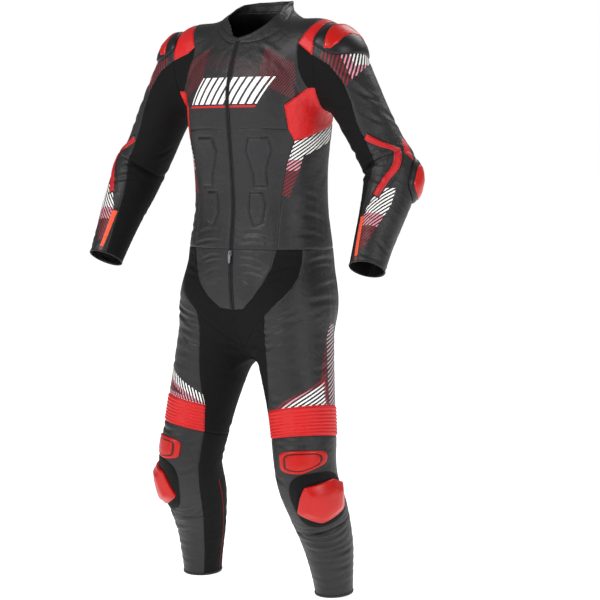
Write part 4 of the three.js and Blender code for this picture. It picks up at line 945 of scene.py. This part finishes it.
def thigh_print(finish, shade):
    u, v = finish.attribute("along") * LEG_ROW, finish.attribute("turn") * LEG_TURN
    on_left = finish.coordinates()[0] > 0.0
    rise = depth_in(u, v, ABOVE_BAND)
    stripes = (rise > 0.0) * striped(u, v, (-37, 78), 6.8, 0.46) * on_left
    shade = finish.mixed(stripes, shade, DARK_RED)
    shade = finish.mixed(stripes * (rise > 5.0), shade, PINK)
    shade = finish.mixed(stripes * (rise > 9.0), shade, WHITE)
    fringe = depth_in(u, v, INNER_BAND)
    ticks = (fringe > 0.0) * striped(u, v, (40, -22), 6.4, 0.42) * (1 - on_left)
    shade = finish.mixed(ticks, shade, WHITE)
    shade = finish.mixed(ticks * (fringe > 16.0), shade, PINK)
    shade = finish.mixed(ticks * (fringe > 24.0), shade, DARK_RED)
    ticks = (depth_in(u, v, OUTER_HATCH) > 0.0) * striped(u, v, (-34, 66), 7.4, 0.38)
    shade = finish.mixed(ticks, shade, rgb("b9a2a6"))
    return finish.mixed(ticks * (v < 104.0), shade, DARK_RED)


black_thigh = grain_leather("black_leather_thigh", "19191b", 0.5, "252527", thigh_print)
for side in ("left", "right"):
    sewn("rise_" + side, ["rise_" + side], 5, black_plain)
    nodes = ["hip_stretch_" + side, "fork_stretch_" + side]
    sewn(nodes[0], nodes, 5, knit, weld=0.7)
    sewn("inner_leg_" + side, ["inner_leg_" + side], 7, knit)
    sewn("thigh_" + side, ["thigh_" + side], 5, black_thigh)
    sewn("seat_" + side, ["seat_" + side], 7, black_plain)


# Knees and shins: a ribbed red band above each knee, black leather in front, stretch cloth behind.

def band_ribs(p):
    folded_over = np.abs(p) * [1, 0, 0] + p * [0, 1, 1]
    along, _ = place_on_limbs(folded_over)
    share = np.clip((along - 3.24) / (4.06 - 3.24), 0, 1)
    return 2.4 * np.abs(np.sin(np.pi * 8 * share)) ** 0.7


def calf_print(finish, shade):
    turn, along = finish.attribute("turn"), finish.attribute("along")
    zip_line = turn.between(-117.0, -114.8) * along.between(6.3, 10.1)
    shade = finish.mixed(turn.between(-119.0, -112.8) * along.between(6.3, 10.1), shade, rgb("060607"))
    return finish.mixed(zip_line, shade, rgb("8c1016"))


calf_knit = stretch_knit("stretch_cloth_calf", "0c0c0d", calf_print)
red_ribbed = grain_leather("red_ribbed_leather", "b80f12", 0.52, "6a080b")
for side in ("left", "right"):
    band = "knee_band_" + side
    sewn(band, [band], 3, red_ribbed, ribs=band_ribs)
    sewn("knee_" + side, ["knee_" + side], 5.5, black_plain)
    sewn("shin_" + side, ["shin_" + side], 5.5, black_plain)
    sewn("calf_" + side, ["calf_" + side], 7, calf_knit)

# Front zips: one down the jacket and one down the rise, each a dark tape with a row of moulded
# teeth, and the trousers' slider with its hanging pull.

tape = Finish("zip_tape", Specular_IOR_Level=0.25)
x, y, z = tape.coordinates()
weave = ((z * 900.0).part() - 0.5) * ((x * 900.0).part() - 0.5)
tape.feed(tape.shader.inputs["Base Color"], tape.mixed(abs(x) < 0.0019, rgb("171719"), rgb("050506")))
tape.feed(tape.shader.inputs["Roughness"], tape.noise(60.0) * 0.2 + 0.6)
tape.feed(tape.shader.inputs["Normal"], tape.raised(weave, 0.5, 0.0005))
sewn("jacket_zip", ["jacket_zip"], 4, tape.material, pinch=0.2)
sewn("trouser_zip", ["trouser_zip"], 4, tape.material, pinch=0.2)


def moulded_plastic(name, colour, roughness, painted_groove_shade=None, coat=0.0):
    """Moulded plastic: faint orange peel, fine scratches and a soft change of tone."""
    finish = Finish(name, Coat_Weight=coat, Coat_Roughness=0.12, Specular_IOR_Level=0.3)
    soft = finish.noise(26.0, 3.0)
    scuffs = finish.noise(240.0, 6.0, 0.7)
    base = rgb(colour)
    shade = finish.mixed(soft, tuple(c * 0.82 for c in base[:3]) + (1,), base)
    if painted_groove_shade is not None:
        shade = painted_groove_shade(finish, shade)
    finish.feed(finish.shader.inputs["Base Color"], shade)
    finish.feed(finish.shader.inputs["Roughness"], scuffs * 0.16 + (roughness - 0.08))
    peel = finish.raised(finish.noise(700.0, 2.0), 0.12, 0.0004)
    finish.feed(finish.shader.inputs["Normal"], finish.raised(scuffs, 0.05, 0.0005, peel))
    return finish.material


black_moulded = moulded_plastic("black_plastic", "141416", 0.42)
TOOTH_PITCH = 2.9
TOOTH_SIZE = (0.003, 0.0016, 0.0017)
TOOTH_PROUD = 0.0006
bpy.ops.object.select_all(action="DESELECT")
bpy.ops.mesh.primitive_cube_add(size=1)
tooth = bpy.context.active_object
tooth.scale = TOOTH_SIZE
bpy.ops.object.transform_apply(scale=True)
bpy.ops.object.mode_set(mode="EDIT")
bpy.ops.mesh.bevel(offset=0.00035, segments=1)
bpy.ops.object.mode_set(mode="OBJECT")
shape = np.array([v.co[:] for v in tooth.data.vertices])
faces = [tuple(f.vertices) for f in tooth.data.polygons]
bpy.data.objects.remove(tooth)
for name, top, bottom in (("jacket_zip_teeth", -49, -553), ("trouser_zip_teeth", -580, -704)):
    heights = np.arange(bottom, top, TOOTH_PITCH)
    line = settled(np.array([trunk(0, z) for z in heights]))[0] / 1000
    teeth = bpy.data.meshes.new(name)
    corners = np.concatenate([shape + [0, p[1] - TOOTH_PROUD, p[2]] for p in line])
    polygons = [tuple(k + i * len(shape) for k in face) for i in range(len(line)) for face in faces]
    teeth.from_pydata(corners, [], polygons)
    row = bpy.data.objects.new(name, teeth)
    bpy.context.collection.objects.link(row)
    row.data.materials.append(black_moulded)
    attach(row, "suit")

dark_metal = Finish("dark_metal", Metallic=0.85)
tone = dark_metal.mixed(dark_metal.noise(90.0), rgb("77777d"), rgb("a4a4aa"))
dark_metal.feed(dark_metal.shader.inputs["Base Color"], tone)
dark_metal.feed(dark_metal.shader.inputs["Roughness"], dark_metal.noise(400.0, 4.0) * 0.25 + 0.2)
for name in ("zip_slider", "zip_pull"):
    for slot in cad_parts[name].material_slots:
        slot.material = dark_metal.material

# Shoulder cups: a black moulded shell on each sleeve head, with a red hook-shaped insert on its
# top. Both are moulded to the worn form, and sewn to the sleeve at their rims.


def rounded_outline(power, lean=0.0, taper=0.0):
    def at(angle):
        c, d = np.cos(angle), np.sin(angle)
        reach = (np.abs(c) ** power + np.abs(d) ** power) ** (-1 / power)
        return c * reach, d * reach * (1 + taper * c * reach) + lean * c * reach
    return at


def facetted_outline(sides, power):
    """A polygon with rounded corners, from the direction in degrees and distance of each side."""
    def at(angle):
        near = [np.maximum(np.cos(angle - math.radians(way)), 0) / away for way, away in sides]
        reach = sum(k**power for k in near) ** (-1 / power)
        return np.cos(angle) * reach, np.sin(angle) * reach
    return at


def laid(piece, places, rise, side, wall):
    """Sets a piece's corners on the figure, each raised by its rise, and gives the piece its wall."""
    places, out = settled(places)
    places = (places + out * rise[:, None]) * [1 if side == "left" else -1, 1, 1]
    mesh = piece.data
    mesh.vertices.foreach_set("co", (places / 1000).astype(np.float32).ravel())
    mesh.update()
    middle = np.array([f.center[:] for f in mesh.polygons]) * 1000
    facing = np.array([f.normal[:] for f in mesh.polygons])
    if (facing * outwards(middle)).sum() < 0:
        mesh.flip_normals()
    bpy.ops.object.shade_smooth_by_angle(angle=math.radians(40))
    thickness = piece.modifiers.new("thickness", "SOLIDIFY")
    thickness.thickness = wall
    thickness.offset = -1


def declared(piece, finish, nodes=()):
    piece.data.materials.append(finish)
    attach(piece, "suit")
    if nodes:
        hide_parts(*nodes)


def moulded(name, limb, side, centre, half, outline, profile, finish, nodes=(), corners=72):
    """A disc inset ring by ring, laid on a limb and raised by its profile of reach and rise."""
    bpy.ops.object.select_all(action="DESELECT")
    bpy.ops.mesh.primitive_circle_add(vertices=corners, radius=1, fill_type="NGON")
    disc = bpy.context.active_object
    disc.name = f"{name}_{side}_shell"
    bpy.ops.object.mode_set(mode="EDIT")
    reaches = [reach for reach, _ in profile]
    for outer, inner in zip(reaches, reaches[1:]):
        bpy.ops.mesh.inset(thickness=outer - inner)
    bpy.ops.object.mode_set(mode="OBJECT")
    flat = np.array([v.co[:] for v in disc.data.vertices])
    reach = np.hypot(flat[:, 0], flat[:, 1])
    u, v = outline(np.arctan2(flat[:, 1], flat[:, 0]))
    places = limb(centre[0] + u * reach * half[0], centre[1] + v * reach * half[1])
    rise = np.interp(reach, reaches[::-1], [rise for _, rise in profile][::-1])
    disc.data.attributes.new("reach", "FLOAT", "POINT").data.foreach_set("value", reach.astype(np.float32))
    laid(disc, places, rise, side, 0.0016)
    declared(disc, finish, nodes)
    return disc


CUP = {"centre": (0.92, 78), "half": (0.5, 66), "power": 3, "lean": 0.1}
CUP_PROFILE = [(1, 0.4), (0.985, 2.6), (0.96, 4.4), (0.9, 6.2), (0.84, 6.9), (0.82, 7.6),
               (0.7, 9.6), (0.55, 10.8), (0.4, 11.5), (0.2, 12.0), (0.06, 12.1)]
# along and turn of the red insert's upper and lower edges, from the front to the back
INSERT_UPPER = [(0.98, 14), (0.74, 34), (0.56, 58), (0.5, 84), (0.58, 108), (0.7, 122)]
INSERT_LOWER = [(1.09, 24), (1.07, 40), (0.99, 58), (0.97, 80), (1.01, 102), (1.04, 118)]

red_moulded = moulded_plastic("red_plastic", "bc120b", 0.36, coat=0.06)


def cup_rise(along, turn):
    u = (along - CUP["centre"][0]) / CUP["half"][0]
    v = (turn - CUP["centre"][1]) / CUP["half"][1] - CUP["lean"] * u
    reach = (np.abs(u) ** CUP["power"] + np.abs(v) ** CUP["power"]) ** (1 / CUP["power"])
    return np.interp(reach, [r for r, _ in CUP_PROFILE][::-1], [h for _, h in CUP_PROFILE][::-1])


def strip(name, side, across, along):
    """A grid whose corners are read as shares, 0 to 1, along it and across it."""
    bpy.ops.object.select_all(action="DESELECT")
    bpy.ops.mesh.primitive_grid_add(x_subdivisions=along, y_subdivisions=across, size=2)
    grid = bpy.context.active_object
    grid.name = f"{name}_{side}"
    flat = np.array([v.co[:] for v in grid.data.vertices])
    return grid, (flat[:, 0] + 1) / 2, (flat[:, 1] + 1) / 2


for side in ("left", "right"):
    outline = rounded_outline(CUP["power"], CUP["lean"])
    moulded("shoulder_cup", arm, side, CUP["centre"], CUP["half"], outline, CUP_PROFILE,
            black_moulded, ["shoulder_cup_" + side])
    insert, t, w = strip("shoulder_cup_insert", side, 10, 40)
    knots = np.linspace(0, 1, len(INSERT_UPPER))
    upper = np.stack([np.interp(t, knots, [k[i] for k in INSERT_UPPER]) for i in (0, 1)], 1)
    lower = np.stack([np.interp(t, knots, [k[i] for k in INSERT_LOWER]) for i in (0, 1)], 1)
    place = upper * (1 - w)[:, None] + lower * w[:, None]
    edge = np.minimum(np.minimum(w, 1 - w) * 4, np.minimum(t, 1 - t) * 12).clip(0, 1)
    rise = cup_rise(place[:, 0], place[:, 1]) - 1.0 + 3.4 * np.sin(edge * np.pi / 2)
    laid(insert, arm(place[:, 0], place[:, 1]), rise, side, 0.001)
    declared(insert, red_moulded)

# Elbow cups: a black shell at the outer side of each elbow, with a red slide plate on it.

ELBOW = {"centre": (5.58, 104), "half": (0.64, 40)}
for side in ("left", "right"):
    moulded("elbow_cup", arm, side, ELBOW["centre"], ELBOW["half"], rounded_outline(2.6, taper=0.12),
            [(1, 0.4), (0.985, 3), (0.95, 5), (0.88, 7), (0.78, 9.2), (0.66, 11), (0.4, 12.8), (0.1, 13.4)],
            black_moulded, ["elbow_cup_" + side])
    moulded("elbow_slide", arm, side, ELBOW["centre"], (0.5, 31), rounded_outline(2.8, taper=0.12),
            [(1, 7), (0.985, 10.5), (0.93, 12.2), (0.8, 13.6), (0.76, 13.2), (0.72, 14.2),
             (0.4, 15.8), (0.1, 16.2)],
            red_moulded, ["elbow_cup_" + side])

# Knees: a low red plate above, and below it a thick red slider on a black hook-and-loop pad.


# Painted shade: a dark red ring coloured into the groove round the plate's raised middle.
def plate_groove_shade(finish, shade):
    reach = finish.attribute("reach")
    return finish.mixed(reach.between(0.66, 0.76), shade, rgb("4a0508"))


red_plate = moulded_plastic("red_plate", "bc120b", 0.4, plate_groove_shade, coat=0.04)
pad = Finish("hook_and_loop", Sheen_Weight=0.06, Sheen_Roughness=0.6, Specular_IOR_Level=0.1)
pad.feed(pad.shader.inputs["Base Color"], pad.mixed(pad.noise(300.0, 4.0), rgb("040405"), rgb("101012")))
pad.feed(pad.shader.inputs["Roughness"], pad.noise(80.0) * 0.1 + 0.86)
pad.feed(pad.shader.inputs["Normal"], pad.raised(pad.cells(1100.0), 0.7, 0.0012))
PLATE_SIDES = [(180, 0.86), (90, 1.0), (36, 0.72), (-24, 0.92), (-90, 0.98)]
SLIDER_SIDES = [(180, 0.92), (122, 1.0), (62, 0.98), (0, 0.95), (-52, 0.86), (-118, 0.9)]
for side, turn in (("left", 38), ("right", 28)):
    moulded("knee_plate", leg, side, (4.96, 16), (0.4, 48), facetted_outline(PLATE_SIDES, 6),
            [(1, 0.3), (0.98, 2.6), (0.94, 3.8), (0.86, 4.2), (0.78, 4.2), (0.75, 3.2), (0.68, 3.2),
             (0.65, 4.4), (0.4, 4.9), (0.1, 5.1)], red_plate, ["knee_plate_" + side])
    moulded("knee_pad", leg, side, (6.2, turn), (0.88, 58), rounded_outline(2.8, lean=0.08),
            [(1, 0.3), (0.985, 2.2), (0.95, 3.0), (0.7, 3.2), (0.3, 3.2)], pad.material)
    moulded("knee_slider", leg, side, (6.26, turn + 2), (0.62, 52), facetted_outline(SLIDER_SIDES, 30),
            [(1, 2.5), (0.985, 8.5), (0.95, 10.4), (0.86, 11.6), (0.84, 12), (0.62, 19.4), (0.6, 20),
             (0.3, 20.8), (0.08, 21)], red_moulded, ["knee_slider_" + side])

# Cuffs, hems and the collar's rim: each opening is finished with a turned edge of the leather.

turned_leather = grain_leather("black_leather_edge", "171719", 0.52, "252527")


def turned_edge(name, side, places, bulge):
    """A band round an opening. places gives the figure's place at each share round and across it."""
    band, t, w = strip(name, side, 6, 96)
    rise = bulge + 0.8 * np.sin(np.pi * w)
    laid(band, places(t * 360, w), rise, side, 0.0036)
    join = bmesh.new()
    join.from_mesh(band.data)
    bmesh.ops.remove_doubles(join, verts=join.verts[:], dist=0.00005)
    join.to_mesh(band.data)
    join.free()
    declared(band, turned_leather)


for side in ("left", "right"):
    cuff = lambda turn, w: arm(9.46 + w * 0.165, turn)
    hem = lambda turn, w: leg(10.2 + w * 0.125, turn)
    turned_edge("cuff_edge", side, cuff, 0.5)
    turned_edge("hem_edge", side, hem, 0.5)
RIM = [(0, -46), (18, -37), (36, -18), (53, 8), (72, 32), (97, 45), (135, 53), (180, 56)]


def rim_place(turn, w):
    half = np.where(turn > 180, 360 - turn, turn)
    height = np.interp(half, [t for t, _ in RIM], [z for _, z in RIM]) - 8 + 9 * w
    return np.array([trunk(a, z) for a, z in zip(turn, height)])


turned_edge("collar_edge", "left", rim_place, 0.3)

# The floor and the studio: a plain pale floor and soft light from above and both sides.

bpy.ops.mesh.primitive_plane_add(size=40, location=(0, 6, cad_box[0][2] - 0.002))
floor = bpy.context.active_object
floor.name = "floor"
pale = Finish("pale_floor", Roughness=0.9)
pale.shader.inputs["Base Color"].default_value = (0.9, 0.9, 0.9, 1)
pale.shader.inputs["Emission Color"].default_value = (1, 1, 1, 1)
pale.shader.inputs["Emission Strength"].default_value = 0.85
floor.data.materials.append(pale.material)

world = bpy.data.worlds.new("studio")
world.use_nodes = True
world.node_tree.nodes["Background"].inputs["Color"].default_value = (1, 1, 1, 1)
backdrop = world.node_tree.nodes["Background"].inputs["Strength"]
seen = world.node_tree.nodes.new("ShaderNodeLightPath")
strength = world.node_tree.nodes.new("ShaderNodeMapRange")
strength.inputs["To Min"].default_value = 0.28
strength.inputs["To Max"].default_value = 1.0
world.node_tree.links.new(seen.outputs["Is Camera Ray"], strength.inputs["Value"])
world.node_tree.links.new(strength.outputs["Result"], backdrop)
bpy.context.scene.world = world
bpy.context.scene.view_settings.view_transform = "Standard"

for name, place, power, size in [
    ("key_light", (-1.2, -3.6, 1.6), 105, 1.2),
    ("fill_light", (3.6, -1.4, 0.8), 60, 1.6),
    ("back_light", (0.4, 3.2, 2.4), 60, 2.0),
]:
    light = bpy.data.lights.new(name, "AREA")
    light.energy = power
    light.size = size
    lamp = bpy.data.objects.new(name, light)
    bpy.context.collection.objects.link(lamp)
    aim = Vector((0, 0, -0.6)) - Vector(place)
    lamp.matrix_world = Matrix.Translation(place) @ aim.to_track_quat("-Z", "Y").to_matrix().to_4x4()
